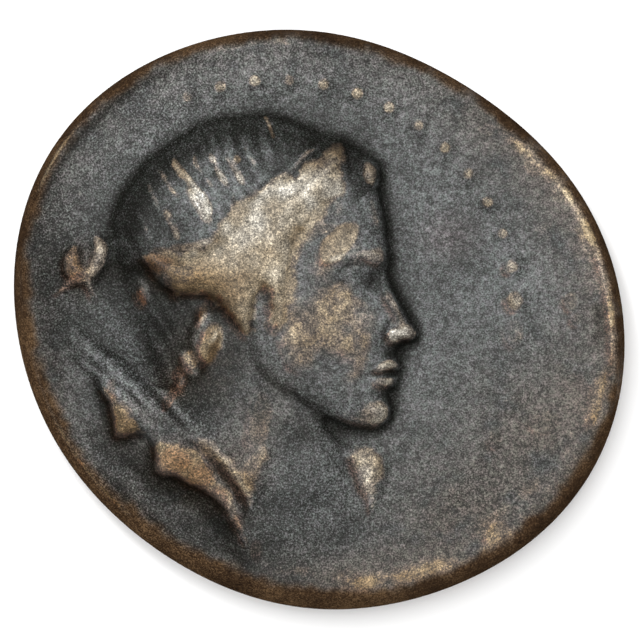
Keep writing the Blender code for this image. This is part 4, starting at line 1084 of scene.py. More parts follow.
def struck_field(x, y, margin, shoulder):
    """The uneven ground round the figure, with a worn lip inside the edge."""
    angle = np.arctan2(y, x)
    lip = LIP + sum(height * side_weight(angle, side) for side, height in LIP_SIDES)
    lip = lip * np.exp(-(((margin - shoulder - LIP_INSIDE) / LIP_WIDTH) ** 2))
    ripples = np.cos(2 * math.pi * margin / RIPPLE + cloudy(x, y, RIPPLE_SWAY))
    ripples *= 1 + cloudy(x, y, RIPPLE_WEAR)
    return cloudy(x, y, GROUND_LUMPS) + lip + ripples * swelling(x, y, *RIPPLED)


def obverse(x, y):
    """The obverse's sheets: its height over the resting plane in mm, and its wear, with painted shade and
    painted highlights.
    """
    angle = np.arctan2(y, x)
    margin = flan_radius(angle) - np.hypot(x, y)
    shoulder = SHOULDER + SHOULDER_EXTRA * side_weight(angle, THICK_SIDE) ** SHOULDER_GATHERED
    face_relief = face(x, y)
    relief = figure(x, y, face_relief)
    covered = ease(relief, *COVERED)
    moat = MOAT * blurred(covered, MOAT_WIDTH) * (1 - covered)
    sheets = wear(x, y, relief, face_relief, margin)
    relief += struck_field(x, y, margin, shoulder) * (1 - GROUND_HIDDEN * covered) - moat
    relief += cloudy(x, y, FIGURE_LUMPS) * covered

    # Worn softer on the high parts, and kept sharper on the face
    soft = blurred(relief, WORN_SOFT)
    crisp = 1 - WORN_HIGH * ease(soft, *WORN_LEVELS)
    plain = soft + (blurred(relief, DETAIL_SOFT) - soft) * crisp
    sharp = soft + (blurred(relief, FACE_DETAIL_SOFT) - soft) * crisp
    keen = blurred(ease(face_relief, *FACE_KEEN), FACE_KEEN_SOFT)
    top = FIELD + plain + (sharp - plain) * keen + cloudy(x, y, OBVERSE_GRAINS)
    sheets["height"] = EDGE_TOP + (top - EDGE_TOP) * quarter_round(margin, shoulder)
    return sheets


# ---------------------------------------------------------------- reverse
def wreath(x, y):
    """Two branches of leaves in pairs, open at the top and tied at the bottom."""
    relief = np.zeros_like(x)
    for side in (-1, 1):
        for number in range(LEAF_COUNT):
            along = (180 - WREATH_FOOT - WREATH_OPENING) * number / (LEAF_COUNT - 1)
            angle = -90 + side * (WREATH_FOOT + along)
            for row in (1, -1):
                radius = WREATH_RADIUS + row * LEAF_OUT
                middle = (radius * math.cos(math.radians(angle)), radius * math.sin(math.radians(angle)))
                leaf = dome(x, y, middle, (LEAF_LENGTH, LEAF_WIDTH), angle + 90 - side * row * LEAF_LEAN)
                relief = np.maximum(relief, leaf)
    stem = np.exp(-(((np.hypot(x, y) - WREATH_RADIUS) / STEM_WIDTH) ** 2))
    closed = ease(np.abs(np.degrees(np.arctan2(x, y))) - WREATH_OPENING, *STEM_OPENING)
    return most(relief, STEM_HEIGHT * stem * closed, dome(x, y, (0, -WREATH_RADIUS), TIE))


def star(x, y):
    radius = np.hypot(x, y)
    swing = math.pi / STAR_RAYS
    bearing = (np.arctan2(y, x) + swing) % (2 * swing) - swing
    taper = STAR_WIDTH * np.clip(1 - radius / STAR_REACH, 0, 1) + STAR_TIP
    ray = np.clip(1 - np.abs(radius * np.sin(bearing)) / taper, 0, 1)
    ray *= ease(STAR_REACH - radius, 0, STAR_EDGE)
    return most(ray, STAR_DISC_HEIGHT * ease(STAR_DISC + STAR_EDGE - radius, 0, STAR_EDGE))


def reverse_relief(x, y):
    """The reverse over the resting plane before its highest parts were worn flat, and its ground."""
    rim = ease(np.hypot(x - REVERSE_RIM_AT[0], y - REVERSE_RIM_AT[1]), *REVERSE_RIM)
    ground = REVERSE_FIELD + cloudy(x, y, REVERSE_LUMPS)
    relief = ground - WREATH_HEIGHT * blurred(wreath(x, y), WREATH_SOFT)
    relief -= STAR_HEIGHT * blurred(star(x, y), STAR_SOFT) + REVERSE_RIM_HEIGHT * rim
    return blurred(relief, REVERSE_SOFT), ground


def reverse(x, y):
    """The reverse's sheets: height over the resting plane, with its highest parts worn flat, and wear, with
    painted shade in its creases.
    """
    margin = flan_radius(np.arctan2(y, x)) - np.hypot(x, y)
    relief, ground = reverse_relief(x, y)
    flat = np.clip(relief + cloudy(x, y, REVERSE_GRAINS), 0, None)
    high = ease(blurred(ground - relief, REVERSE_HIGH_SOFT), *REVERSE_HIGH)
    rubbed = ease(cloudy(x, y, REVERSE_RUBBED), *REVERSE_RUBBED_RANGE)
    grimy = ease(cloudy(x, y, REVERSE_GRIMY), *REVERSE_GRIMY_RANGE)
    least, inner, most_rubbed = REVERSE_BARE
    bare = least + inner * ease(margin, *REVERSE_INNER) + most_rubbed * rubbed
    return {
        "height": EDGE_BOTTOM + (flat - EDGE_BOTTOM) * quarter_round(margin, REVERSE_SHOULDER),
        "bare": high * bare * ease(margin, *REVERSE_EDGE),
        "pale": REVERSE_PALE * high * rubbed,
        "brown": ease(REVERSE_BROWN + cloudy(x, y, REVERSE_RAGGED) - margin, *REVERSE_BROWN_FADE),
        "hollow": most(proud(relief, *REVERSE_CREASES), REVERSE_GRIME * grimy),
        "warm": REVERSE_WARM + cloudy(x, y, REVERSE_WARM_PATCHY),
        "rust": np.zeros_like(x),
        "coarse": np.full_like(x, REVERSE_COARSE),
    }


# ---------------------------------------------------------------- where the patina is rubbed away
def rub_line(x, y, points, width, amount):
    """Metal showing along a line, hard in its middle."""
    reach = RUB_REACH * width
    distance = nearest(x, y, curve_through(points, 6), reach)[0]
    return amount * ease(reach - distance, 0, RUB_EDGE * width)


def rub_spot(x, y, middle, radii, turn, amount):
    """Metal showing in a spot, hard in its middle."""
    a, b = turned(x, y, middle, turn)
    return amount * ease(SPOT_REACH - np.hypot(a / radii[0], b / radii[1]), 0, SPOT_EDGE)


def ridge_crest(x, y, rows):
    """1 along the top of a ridge, 0 at its sides."""
    path = curve_through(rows, 8)
    distance, _, (width, _) = nearest(x, y, path, path[:, 2].max())
    return ease(1 - distance / np.maximum(width, 1e-6), 0, CREST_EDGE)


def patches(x, y, rows):
    """How far each place lies in any of the soft patches of a list."""
    clear = np.ones_like(x)
    for row in rows:
        clear *= 1 - swelling(x, y, *row)
    return 1 - clear


def along_rim(bearing, margin, rows, column):
    """One column's amount in stretches of bearing, half length, distance from the edge and half width."""
    sheet = np.zeros_like(margin)
    for row in rows:
        middle, half_length, inwards, half_width = row[:4]
        turn = (bearing - middle + 180) % 360 - 180
        reach = ease(RIM_REACH - np.abs(turn) / half_length, 0, 1)
        reach *= np.exp(-(((margin - inwards) / half_width) ** 2))
        sheet = np.maximum(sheet, row[column] * reach)
    return sheet


def dirt_and_painted_shade(x, y, relief):
    """Where the patina is painted near black: dirt and painted shade in creases, round the figure and over
    the crown's edge, painted shade on its steep sides, and patches of old dirt and painted shade.
    """
    clean = 1 - patches(x, y, DIRT_AND_SHADE_PATCHES)
    for reach, start, end, amount in (CREASES, MOAT_DIRT_AND_SHADE):
        clean *= 1 - amount * proud(-relief, reach, start, end)
    reach, start, end, amount = STEEP_SHADE
    slope_up, slope_across = np.gradient(blurred(relief, reach), SHEET_STEP)
    clean *= 1 - amount * ease(np.hypot(slope_up, slope_across), start, end)
    reach, start, end, amount = CRESTS_CLEAN
    dark = (1 - clean) * (1 - amount * proud(relief, reach, start, end))
    edge = nearest(x, y, curve_through(CROWN[:CROWN_BACK], 6), CROWN_DIRT_SHADE_REACH)[0]
    over = depth_inside(x, y, CROWN, CROWN_DIRT_SHADE_REACH)
    width = CROWN_DIRT_SHADE_OUTSIDE + CROWN_DIRT_SHADE_BEHIND * ease(-x, *CROWN_BEHIND)
    crown_side = np.where(over > 0, 1 - ease(edge, *CROWN_DIRT_SHADE_INSIDE), 1 - ease(edge, 0.0, width))
    dark = 1 - (1 - dark) * (1 - CROWN_DIRT_AND_SHADE * crown_side)
    return dark * (1 - patches(x, y, CLEAN))


def face_wear(x, y, relief, face_relief):
    """How rubbed the cheek, brow and highest points of the face are, and how darkly its low parts are
    painted for dirt and painted shade.
    """
    patchy = cloudy(x, y, FACE_PATCHY)
    below = ease(HEAD_AT[1] + CHEEK_TOP * HEAD_HEIGHT - y, *CHEEK_FADE)
    above = ease(y - HEAD_AT[1] - BROW_FOOT * HEAD_HEIGHT, *BROW_FADE)
    cheek = ease(blurred(face_relief, CHEEK_SOFT) + patchy, *CHEEK_RUBBED) * below
    cheek *= 1 - patches(x, y, (CHEEK_SPARED,))
    brow = ease(face_relief + patchy, *BROW_RUBBED) * above
    high_points = proud(relief, SURROUNDINGS, *HIGH_POINTS) * ease(face_relief, *ON_FACE)
    sunk = ease(SUNK_LEVEL - blurred(face_relief, SUNK_SOFT), *SUNK_DEPTH)
    return cheek, brow, high_points, SUNK_DIRT_AND_SHADE * sunk * ease(face_relief, *SUNK_INSIDE)


def rubbed_strands(x, y, relief, roll):
    """Metal on the combed hair and on its strands, but not on the roll."""
    strands = proud(relief, SURROUNDINGS, *COMBED_TOP) * patches(x, y, (COMBED_BARE,))
    for (points, width, _), amount in zip(STREAKS, STREAKS_BARE):
        strands = np.maximum(strands, amount * ease(line(x, y, points, width), *STREAK_TOP))
    return strands * (1 - roll) * (STRANDS_EVEN + cloudy(x, y, STRANDS_PATCHY))


def rubbed_folds(x, y, frayed):
    """Metal on the folds of the dress, frayed at their sides and absent from their lower edges, which are
    left dark as painted shade.
    """
    folds = np.zeros_like(x)
    spared = 1 - patches(x, y, FOLD_SHADED_EDGES)
    for (outline, _), amount in zip(FOLDS, FOLDS_BARE):
        depth = depth_inside(x, y, outline, FOLD_DEPTH, 5)
        folds = np.maximum(folds, amount * spared * ease(depth + FOLD_FRAYED * frayed, *FOLD_RUBBED))
    return folds


def rust_fringes(x, y, bare):
    """Red-brown rust: to the left of rubbed places and below them, on ends of hair, and in spots."""
    beside = round(RUST_BESIDE / SHEET_STEP)
    fringe = ease(np.roll(bare, (-beside, -beside), (0, 1)) - bare, *RUST_STEP) * ease(-y, *RUST_BELOW)
    ends = most(ridge_crest(x, y, TAIL_LOCK), ridge_crest(x, y, KNOT[2]))
    return most(RUST_FRINGE * fringe, RUST_ON_ENDS * ends, most_of(x, y, rub_spot, RUST_SPOTS))


def wear(x, y, relief, face_relief, margin):
    """Bare metal and its paleness with painted highlights, the brown edge, dirt with painted shade, warm
    tint and coarse grain: sheets from 0 to 1.
    """
    bearing = np.degrees(np.arctan2(y, x))
    cheek, brow, high_points, sunk = face_wear(x, y, relief, face_relief)
    x, y = drifted(x, y)
    frayed = cloudy(x, y, FRAYED)
    roll = ease(depth_inside(x, y, HAIR_ROLL, ROLL_DEPTH, 5) + frayed, *ROLL_RUBBED)
    strands = rubbed_strands(x, y, relief, roll)
    bare = most(
        (ROLL_BARE - drawn(x, y, swelling, ROLL_SPARED)) * roll,
        CHEEK_BARE * cheek,
        BROW_BARE * brow,
        HIGH_POINTS_BARE * high_points,
        strands,
        rubbed_folds(x, y, frayed),
        TAIL_LOCK_BARE * ridge_crest(x, y, TAIL_LOCK),
        *(amount * ridge_crest(x, y, rows) for rows, amount in zip(KNOT, KNOT_BARE)),
        most_of(x, y, rub_spot, RUBBED_SPOTS),
        most_of(x, y, rub_line, RUBBED_LINES),
    )
    bare *= 1 + cloudy(x, y, BARE_PATCHY)

    # Pale metal on what is rubbed most, a painted highlight on the roll's lit top, and painted highlights
    # on crests and along gleams of the patina
    dull = 1 - CLOTH_DULL * patches(x, y, NO_CREST_HIGHLIGHT)
    pale = most(
        roll * most_of(x, y, swelling, ROLL_WHITE),
        STRANDS_PALE * strands * ease(x, *STRANDS_PALE_FROM),
        CHEEK_PALE * cheek,
        BROW_PALE * brow,
        HIGH_POINTS_PALE * high_points,
        CREST_HIGHLIGHT * proud(relief, CREST_REACH, *CREST_HEIGHT) * (1 - roll) * dull,
        most_of(x, y, swelling, PALE_SPOTS),
        most_of(x, y, line, GLEAMS),
    )
    pale *= 1 + cloudy(x, y, PALE_PATCHY)

    # The rim: rubbed metal and painted highlight lines, the brown of the edge, and dirt and painted shade
    # inside it
    bare = most(bare, along_rim(bearing, margin, RIM_METAL_AND_HIGHLIGHTS, 4) * (RIM_EVEN + cloudy(x, y, RIM_PATCHY)))
    pale = most(pale, along_rim(bearing, margin, RIM_METAL_AND_HIGHLIGHTS, 5))
    ragged = cloudy(x, y, RIM_RAGGED)
    brown = ease(np.interp(bearing, *zip(*BROWN_BAND)) + ragged - margin, *BROWN_FADE)
    rim_dirt_and_shade = brown * np.interp(bearing, *zip(*BROWN_DIRT_AND_SHADE)) * (1 + cloudy(x, y, RIM_DIRT_SHADE_PATCHY))
    groove = along_rim(bearing, margin + GROOVE_RAGGED * ragged, RIM_GROOVE_DIRT_AND_SHADE, 4)
    film = FILM + FILM_FULLEST * ease(bearing, *FILM_STARTS) * ease(-bearing, *FILM_ENDS)
    film *= np.exp(-((margin / FILM_WIDTH) ** 2))
    return {
        "bare": bare,
        "pale": pale,
        "brown": brown,
        "hollow": most(dirt_and_painted_shade(x, y, relief), rim_dirt_and_shade, groove, sunk * (1 - bare)),
        "warm": most(patches(x, y, WARM), film, CHEEK_WARM * cheek, BROW_WARM * brow),
        "rust": rust_fringes(x, y, bare),
        "coarse": patches(x, y, COARSE),
    }


# ---------------------------------------------------------------- mesh
def on_disc(a, b):
    """Places in the unit disc for places in the unit square, ring by ring, crowded towards the edge."""
    ring = np.maximum(np.abs(a), np.abs(b))
    safe = np.maximum(ring, 1e-9)
    wide = np.abs(a) >= np.abs(b)
    turn = np.where(wide, b / safe, 2 - a / safe) * math.pi / 4
    turn = np.where(wide & (a < 0), math.pi - b / safe * math.pi / 4, turn)
    turn = np.where(~wide & (b < 0), -math.pi / 2 + a / safe * math.pi / 4, turn)
    t = np.clip((ring - EDGE_ZONE) / (1 - EDGE_ZONE), 0, 1)
    radius = np.where(ring > EDGE_ZONE, EDGE_ZONE + (1 - EDGE_ZONE) * (t + t**2 - t**3), ring)
    return radius, turn


def read_sheet(sheet, x, y):
    """The sheet's value at any place, between its four nearest points."""
    across, up = (x + SHEET_HALF) / SHEET_STEP, (y + SHEET_HALF) / SHEET_STEP
    column, row = across.astype(int), up.astype(int)
    tx, ty = across - column, up - row
    below = sheet[row, column] * (1 - tx) + sheet[row, column + 1] * tx
    above = sheet[row + 1, column] * (1 - tx) + sheet[row + 1, column + 1] * tx
    return below * (1 - ty) + above * ty


def disc_points(cells):
    """The grid's places on the flan, in mm, for one face of the coin, drawn together at the head."""
    steps = np.linspace(-1, 1, cells + 1)
    across, up = (steps - CROWDING * (1 - steps**2) * (steps - middle) for middle in HEAD_ON_GRID)
    radius, turn = on_disc(*np.meshgrid(across, up))
    radius = radius * flan_radius(turn)
    return radius * np.cos(turn), radius * np.sin(turn)


def border_loop(cells):
    """The grid's outer points, anticlockwise from above."""
    side = cells + 1
    index = np.arange(side * side).reshape(side, side)
    return np.concatenate([index[0, :-1], index[:-1, -1], index[-1, :0:-1], index[:0:-1, 0]])


def grid_faces(cells):
    side = cells + 1
    index = np.arange(side * side).reshape(side, side)
    return np.stack([index[:-1, :-1], index[:-1, 1:], index[1:, 1:], index[1:, :-1]], -1).reshape(-1, 4)


def coin_mesh(sheets_top, sheets_bottom):
    """Both reliefs on one closed mesh: the obverse has two cells to the reverse's one."""
    x_top, y_top = (part.ravel() for part in disc_points(CELLS))
    x_low, y_low = (part.ravel() for part in disc_points(CELLS // 2))
    values = {}
    for name in sheets_top:
        high = read_sheet(sheets_top[name], x_top, y_top)
        low = read_sheet(sheets_bottom[name], x_low, y_low)
        values[name] = np.concatenate([high, low])
    x, y = np.concatenate([x_top, x_low]), np.concatenate([y_top, y_low])
    points = np.column_stack([x, y, values.pop("height")]) * MM
    top, low = border_loop(CELLS), border_loop(CELLS // 2) + len(x_top)
    top_next, top_after = np.roll(top, -1)[::2], np.roll(top, -2)[::2]
    top, low_next = top[::2], np.roll(low, -1)
    faces = grid_faces(CELLS).tolist()
    faces += (grid_faces(CELLS // 2)[:, ::-1] + len(x_top)).tolist()
    faces += np.column_stack([low, top_next, top]).tolist()
    faces += np.column_stack([low, low_next, top_next]).tolist()
    faces += np.column_stack([low_next, top_after, top_next]).tolist()
    mesh = bpy.data.meshes.new("struck_flan")
    mesh.from_pydata(points.tolist(), [], faces)
    for name, value in values.items():
        layer = mesh.attributes.new(name, "FLOAT", "POINT")
        layer.data.foreach_set("value", np.clip(value, 0, 1).astype(np.float32))
    mesh.shade_smooth()
    return mesh


# ---------------------------------------------------------------- node trees
class Tree:
    """A node tree with short ways to add and join its nodes."""

    def __init__(self, tree):
        self.tree = tree

    def add(self, kind, inputs=(), **settings):
        node = self.tree.nodes.new(kind)
        for name, value in settings.items():
            setattr(node, name, value)
        for key, value in dict(inputs).items():
            if isinstance(value, bpy.types.NodeSocket):
                self.tree.links.new(value, node.inputs[key])
            else:
                node.inputs[key].default_value = value
        return node

    def math(self, operation, *values):
        return self.add("ShaderNodeMath", dict(enumerate(values)), operation=operation).outputs[0]

    def vector(self, operation, *values, **scale):
        """A vector sum, or the number that a length or a distance gives."""
        node = self.add("ShaderNodeVectorMath", {**dict(enumerate(values)), **scale}, operation=operation)
        return node.outputs["Value" if operation in ("LENGTH", "DISTANCE") else "Vector"]

    def eased(self, value, low, high, to_low=0.0, to_high=1.0):
        """A value's place between low and high, smoothed, from to_low to to_high."""
        places = {"Value": value, "From Min": low, "From Max": high, "To Min": to_low, "To Max": to_high}
        return self.add("ShaderNodeMapRange", places, interpolation_type="SMOOTHSTEP").outputs["Result"]

    def product(self, first, *others):
        for other in others:
            first = self.math("MULTIPLY", first, other)
        return first

    def summed(self, *terms):
        """The sum of (value, weight) terms and plain numbers."""
        total = 0.0
        for term in terms:
            total = self.math("ADD", total, self.product(*term) if isinstance(term, tuple) else term)
        return total

    def without(self, value, weight=-1.0):
        """What a mask leaves over: 1 where it is 0."""
        return self.summed((value, weight), 1.0)


# ---------------------------------------------------------------- border of beads
BEAD_INPUTS = (
    ("Geometry", "NodeSocketGeometry"),
    ("Ring Middle", "NodeSocketVector"),
    ("Ring Radius", "NodeSocketFloat"),
    ("Beads", "NodeSocketInt"),
    ("First Bead", "NodeSocketFloat"),
    ("Bead Radius", "NodeSocketFloat"),
    ("Bead Height", "NodeSocketFloat"),
    ("Lowest Surface", "NodeSocketFloat"),
    ("Seed", "NodeSocketInt"),
    ("Material", "NodeSocketMaterial"),
)


def bead_tree():
    """Raises a ring of round beads out of a surface, worn away along part of the ring."""
    group = bpy.data.node_groups.new("struck_beads", "GeometryNodeTree")
    group.interface.new_socket("Geometry", in_out="OUTPUT", socket_type="NodeSocketGeometry")
    for name, kind in BEAD_INPUTS:
        group.interface.new_socket(name, in_out="INPUT", socket_type=kind)
    t = Tree(group)
    given = t.add("NodeGroupInput").outputs
    circle = t.add("GeometryNodeMeshCircle", {"Vertices": given["Beads"], "Radius": given["Ring Radius"]})
    turn = t.add("ShaderNodeCombineXYZ", {"Z": given["First Bead"]}).outputs[0]
    place = {"Geometry": circle.outputs[0], "Translation": given["Ring Middle"], "Rotation": turn}
    ring = t.add("GeometryNodeTransform", place).outputs[0]

    # What the wear has left of each bead, from its bearing round the ring
    position = t.add("GeometryNodeInputPosition").outputs[0]
    out = t.vector("SUBTRACT", position, given["Ring Middle"])
    out = t.add("ShaderNodeSeparateXYZ", {0: out}).outputs
    bearing = t.math("DEGREES", t.math("ARCTAN2", out["Y"], out["X"]))
    start, full, thinning, end = WHOLE_BEADS
    whole = t.product(t.eased(bearing, start, full), t.eased(bearing, end, thinning))
    start, full, thinning, end = FAINT_BEADS
    faint = t.product(t.eased(bearing, start, full, 0, FAINT), t.eased(bearing, end, thinning))
    shares = {2: BEAD_LEFT[0], 3: BEAD_LEFT[1], "Seed": given["Seed"]}
    luck = t.add("FunctionNodeRandomValue", shares, data_type="FLOAT").outputs[1]
    left = t.product(t.math("MAXIMUM", whole, faint), luck)

    # The nearest bead to each place on the surface, and how far off it is
    flat = t.vector("MULTIPLY", position, (1, 1, 0))
    nearby = t.add("GeometryNodeSampleNearest", {"Geometry": ring, "Sample Position": flat}, domain="POINT")
    bead = {"Geometry": ring, "Index": nearby.outputs[0]}
    centre = t.add("GeometryNodeSampleIndex", {**bead, "Value": position}, data_type="FLOAT_VECTOR")
    strength = t.add("GeometryNodeSampleIndex", {**bead, "Value": left}, data_type="FLOAT").outputs[0]
    span = t.math("DIVIDE", t.vector("DISTANCE", flat, centre.outputs[0]), given["Bead Radius"])
    profile = t.math("EXPONENT", t.product(span, span, -1.0))
    rise = t.product(profile, strength, given["Bead Height"])
    levels = {"A": t.add("ShaderNodeSeparateXYZ", {0: position}).outputs["Z"], "B": given["Lowest Surface"]}
    above = t.add("FunctionNodeCompare", levels, operation="GREATER_THAN").outputs[0]
    lift = t.add("ShaderNodeCombineXYZ", {"Z": rise}).outputs[0]
    raised = {"Geometry": given["Geometry"], "Selection": above, "Offset": lift}
    struck = t.add("GeometryNodeSetPosition", raised).outputs[0]

    # Bare metal on the top of each bead, pale where it is whole
    marked = struck
    for name, most_on_top in (("bare", BEAD_BARE), ("pale", BEAD_PALE)):
        before = t.add("GeometryNodeInputNamedAttribute", {"Name": name}, data_type="FLOAT").outputs[0]
        top = t.product(t.eased(profile, *BEAD_TOP, 0, most_on_top), strength)
        both = {"Geometry": marked, "Selection": above, "Name": name}
        both["Value"] = t.math("MAXIMUM", before, top)
        stored = t.add("GeometryNodeStoreNamedAttribute", both, data_type="FLOAT", domain="POINT")
        marked = stored.outputs[0]
    real = t.add("GeometryNodeRealizeInstances", {"Geometry": marked}).outputs[0]
    painted = t.add("GeometryNodeSetMaterial", {"Geometry": real, "Material": given["Material"]}).outputs[0]
    t.add("NodeGroupOutput", {"Geometry": painted})
    return group


def with_beads(mesh, material):
    """The mesh with the border struck on it, as a plain mesh."""
    blank = bpy.data.objects.new("blank", mesh)
    bpy.context.scene.collection.objects.link(blank)
    modifier = blank.modifiers.new("Struck beads", "NODES")
    group = bead_tree()
    modifier.node_group = group
    values = {
        "Ring Middle": (RING_AT[0] * MM, RING_AT[1] * MM, 0.0),
        "Ring Radius": RING_RADIUS * MM,
        "Beads": BEAD_COUNT,
        "First Bead": math.radians(BEAD_START),
        "Bead Radius": BEAD_RADIUS * MM,
        "Bead Height": BEAD_HEIGHT * MM,
        "Lowest Surface": EDGE_TOP * MM,
        "Seed": BEAD_SEED,
        "Material": material,
    }
    sockets = {item.name: item.identifier for item in group.interface.items_tree if item.in_out == "INPUT"}
    for name, value in values.items():
        modifier[sockets[name]] = value
    evaluated = blank.evaluated_get(bpy.context.evaluated_depsgraph_get())
    struck = bpy.data.meshes.new_from_object(evaluated)
    blank.modifiers.clear()
    bpy.data.objects.remove(blank)
    return struck


# ---------------------------------------------------------------- patina
def noise(t, place, scale, detail, roughness):
    inputs = {"Vector": place, "Scale": scale, "Detail": detail, "Roughness": roughness}
    return t.add("ShaderNodeTexNoise", inputs).outputs["Fac"]


def ramp(t, value, stops):
    node = t.add("ShaderNodeValToRGB", {"Fac": value})
    band = node.color_ramp
    while len(band.elements) < len(stops):
        band.elements.new(0.5)
    for element, (place, colour) in zip(band.elements, stops):
        element.position = place
        element.color = (*colour, 1)
    return node.outputs["Color"]


def blend(t, share, first, second, kind="MIX"):
    node = t.add("ShaderNodeMix", {0: share}, data_type="RGBA", blend_type=kind)
    for socket, value in ((node.inputs[6], first), (node.inputs[7], second)):
        if isinstance(value, bpy.types.NodeSocket):
            t.tree.links.new(value, socket)
        else:
            socket.default_value = (*value, 1)
    return node.outputs[2]


def tinted(t, share, colour, tint):
    """A colour multiplied by a tint where a share is 1."""
    return blend(t, share, colour, blend(t, 1.0, colour, tint, "MULTIPLY"))


def lit(t, colour, factor):
    """A colour made lighter or darker, its hue kept."""
    return t.vector("SCALE", colour, Scale=factor)


def stain(t, place, middle, radii, strength):
    """1 in a soft patch of the surface, 0 away from it; the middle and radii in mm."""
    away = t.vector("SUBTRACT", place, (*middle, 0))
    away = t.vector("MULTIPLY", away, (1 / radii[0], 1 / radii[1], 0))
    return t.eased(t.vector("LENGTH", away), 1.0, 0.0, 0.0, strength)


def patinated_bronze():
    material = bpy.data.materials.new("patinated_bronze")
    material.use_nodes = True
    t = Tree(material.node_tree)
    shader = t.tree.nodes["Principled BSDF"]
    place = t.add("ShaderNodeTexCoord").outputs["Object"]
    place = t.vector("SCALE", place, Scale=1 / MM)
    masks = {}
    for name in ("bare", "pale", "brown", "hollow", "warm", "rust", "coarse"):
        masks[name] = t.add("ShaderNodeAttribute", attribute_name=name).outputs["Fac"]
    kinds = (FINE, GRAIN, MOTTLE, CLOUD, SPECK, HUES)
    fine, grain, mottle, cloud, speck, hues = (noise(t, place, *kind) for kind in kinds)

    # Patina: near black where dirt and painted shade lie, grey-green granules over it
    salt = t.product(t.math("SUBTRACT", fine, 0.5), t.summed((masks["coarse"], FINE_COARSE), FINE_SHOWS))
    grains = t.summed(salt, (grain, GRAIN_SHOWS), -GRAIN_SHOWS / 2)
    larger = t.summed((mottle, MOTTLE_SHOWS), (cloud, CLOUD_SHOWS), -(MOTTLE_SHOWS + CLOUD_SHOWS) / 2)
    hollow = t.product(masks["hollow"], t.summed((grain, DIRT_SHADE_GRAIN), DIRT_SHADE_LEAST))
    rough = t.product(t.summed(grains, larger), t.without(hollow, DIRT_SHADE_EVENS))

    # The pale mask adds pale metal and painted highlights to a tone; the dirt-and-shade mask takes away for
    # dirt and painted shade
    def toned(middle, pale_and_highlight, dirt_and_painted_shade, *terms):
        return t.summed(*terms, (masks["pale"], pale_and_highlight), (hollow, dirt_and_painted_shade), middle)

    patina = ramp(t, toned(*PATINA_TONE, rough), PATINA_TONES)
    tint = blend(t, t.eased(hues, *HUES_TURN), GREEN_GRAINS, RED_GRAINS)
    patina = blend(t, 1.0, patina, tint, "MULTIPLY")
    patina = tinted(t, t.product(masks["warm"], t.eased(mottle, *WARM_MOTTLES)), patina, WARM_TINT)
    patina = tinted(t, stain(t, place, *RED_PLACE), patina, RED_TINT)

    # Bronze: speckled tan where lightly rubbed, pale where it has been rubbed most and where a highlight is
    # painted, with dark pits
    pits = t.eased(speck, *PITS)
    metal_tone = toned(*METAL_TONE, (rough, METAL_UNEVEN), (grains, -METAL_UNEVEN))
    sparkle = t.math("POWER", METAL_GRAIN, t.summed(grains, (pits, PITS_DARK)))
    metal = tinted(t, masks["warm"], lit(t, ramp(t, metal_tone, METAL_TONES), sparkle), GOLD_TINT)
    uneven = t.summed((fine, FINE_BARES), (grain, GRAIN_BARES), -(FINE_BARES + GRAIN_BARES) / 2)
    bared = t.eased(t.math("ADD", masks["bare"], uneven), *BARED)
    bared = t.product(bared, t.eased(masks["bare"], *LEAST_BARE))
    thin = t.product(t.eased(bared, *THINLY_BARED), COPPER)
    metal = blend(t, thin, metal, lit(t, ramp(t, metal_tone, COPPER_TONES), sparkle))
    rusted = t.product(masks["rust"], t.eased(fine, *RUST_GRAINS))
    colour = tinted(t, rusted, blend(t, bared, patina, metal), RUST_TINT)

    # The edge: brown bronze, darkest where dirt and painted shade lie
    darker = t.summed((masks["hollow"], EDGE_DIRT_SHADE), EDGE_MIDDLE)
    edge_tone = t.summed((rough, EDGE_UNEVEN), (cloud, EDGE_CLOUDY), darker)
    edge_share = t.product(masks["brown"], t.without(bared, EDGE_BARED))
    colour = blend(t, edge_share, colour, ramp(t, edge_tone, EDGE_TONES))

    skin = t.summed((fine, FINE_BUMP), grain, (pits, PITS_DARK))
    bump = t.add("ShaderNodeBump", {"Height": skin, "Strength": BUMP, "Distance": BUMP_HEIGHT * MM})
    shader.inputs["Specular IOR Level"].default_value = GLOSS_AT_REST * GLOSS
    finish = {
        "Base Color": colour,
        "Metallic": t.product(bared, METALLIC),
        "Roughness": t.summed((bared, RUBBED_ROUGHNESS), (fine, FINE_ROUGHNESS), ROUGHNESS),
        "Specular IOR Level": t.product(t.without(masks["hollow"]), t.without(masks["brown"]), GLOSS),
        "Normal": bump.outputs[0],
    }
    for name, value in finish.items():
        t.tree.links.new(value, shader.inputs[name])
    return material


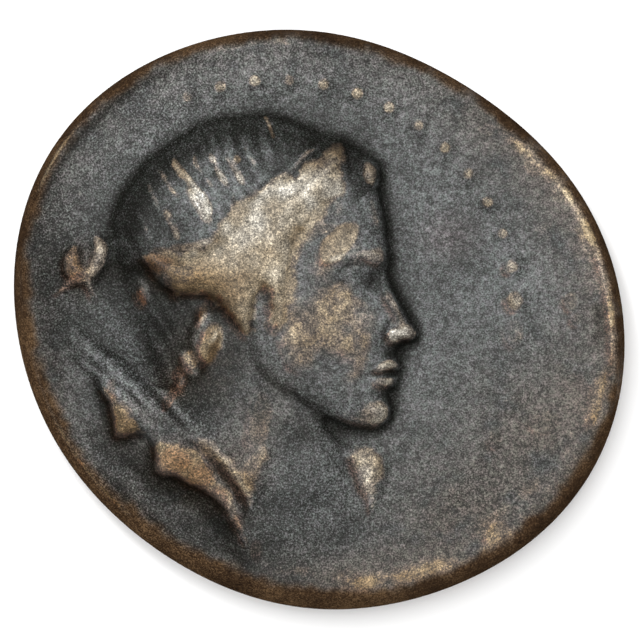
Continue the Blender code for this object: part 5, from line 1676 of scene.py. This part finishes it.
# ---------------------------------------------------------------- floor, light and camera
def floor():
    bpy.ops.mesh.primitive_plane_add(size=FLOOR_SIZE)
    plane = bpy.context.object
    plane.name = "floor"
    material = bpy.data.materials.new("pale_floor")
    material.use_nodes = True
    shader = material.node_tree.nodes["Principled BSDF"]
    shader.inputs["Base Color"].default_value = (FLOOR_GREY, FLOOR_GREY, FLOOR_GREY, 1)
    shader.inputs["Roughness"].default_value = FLOOR_ROUGHNESS
    plane.data.materials.append(material)


def softbox(name, azimuth, elevation, distance, size, power):
    """A square light that looks at the coin."""
    lamp = bpy.data.lights.new(name, "AREA")
    lamp.size = size
    lamp.energy = power
    holder = bpy.data.objects.new(name, lamp)
    turn, rise = math.radians(azimuth), math.radians(elevation)
    out = Vector((math.cos(turn) * math.cos(rise), math.sin(turn) * math.cos(rise), math.sin(rise)))
    holder.location = out * distance
    holder.rotation_euler = out.to_track_quat("Z", "Y").to_euler()
    holder.visible_camera = False
    bpy.context.scene.collection.objects.link(holder)


def surroundings():
    world = bpy.data.worlds.new("studio")
    world.use_nodes = True
    world.node_tree.nodes["Background"].inputs["Color"].default_value = (1, 1, 1, 1)
    world.node_tree.nodes["Background"].inputs["Strength"].default_value = SKY
    bpy.context.scene.world = world
    bpy.context.scene.view_settings.view_transform = "Standard"
    for box in SOFTBOXES:
        softbox(*box)


def overhead_camera(level):
    """Looks straight down from CAMERA_HEIGHT over the coin's widest level."""
    lens = bpy.data.cameras.new("camera")
    lens.lens = lens.sensor_width * CAMERA_HEIGHT / (FRAME_WIDTH * MM)
    lens.clip_start = 0.01
    holder = bpy.data.objects.new("camera", lens)
    holder.location = (0, 0, level + CAMERA_HEIGHT)
    bpy.context.scene.collection.objects.link(holder)
    bpy.context.scene.camera = holder


# ---------------------------------------------------------------- the coin
def main():
    axis = np.arange(-SHEET_HALF, SHEET_HALF + SHEET_STEP, SHEET_STEP)
    x, y = np.meshgrid(axis, axis)
    top = obverse(x, y)
    bottom = reverse(x, y)
    mesh = coin_mesh(top, bottom)
    coin = bpy.data.objects.new("struck_coin", with_beads(mesh, patinated_bronze()))
    bpy.context.scene.collection.objects.link(coin)
    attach(coin, "root")
    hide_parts(COIN)
    overhead_camera(EDGE_TOP * MM)
    floor()
    surroundings()


main()
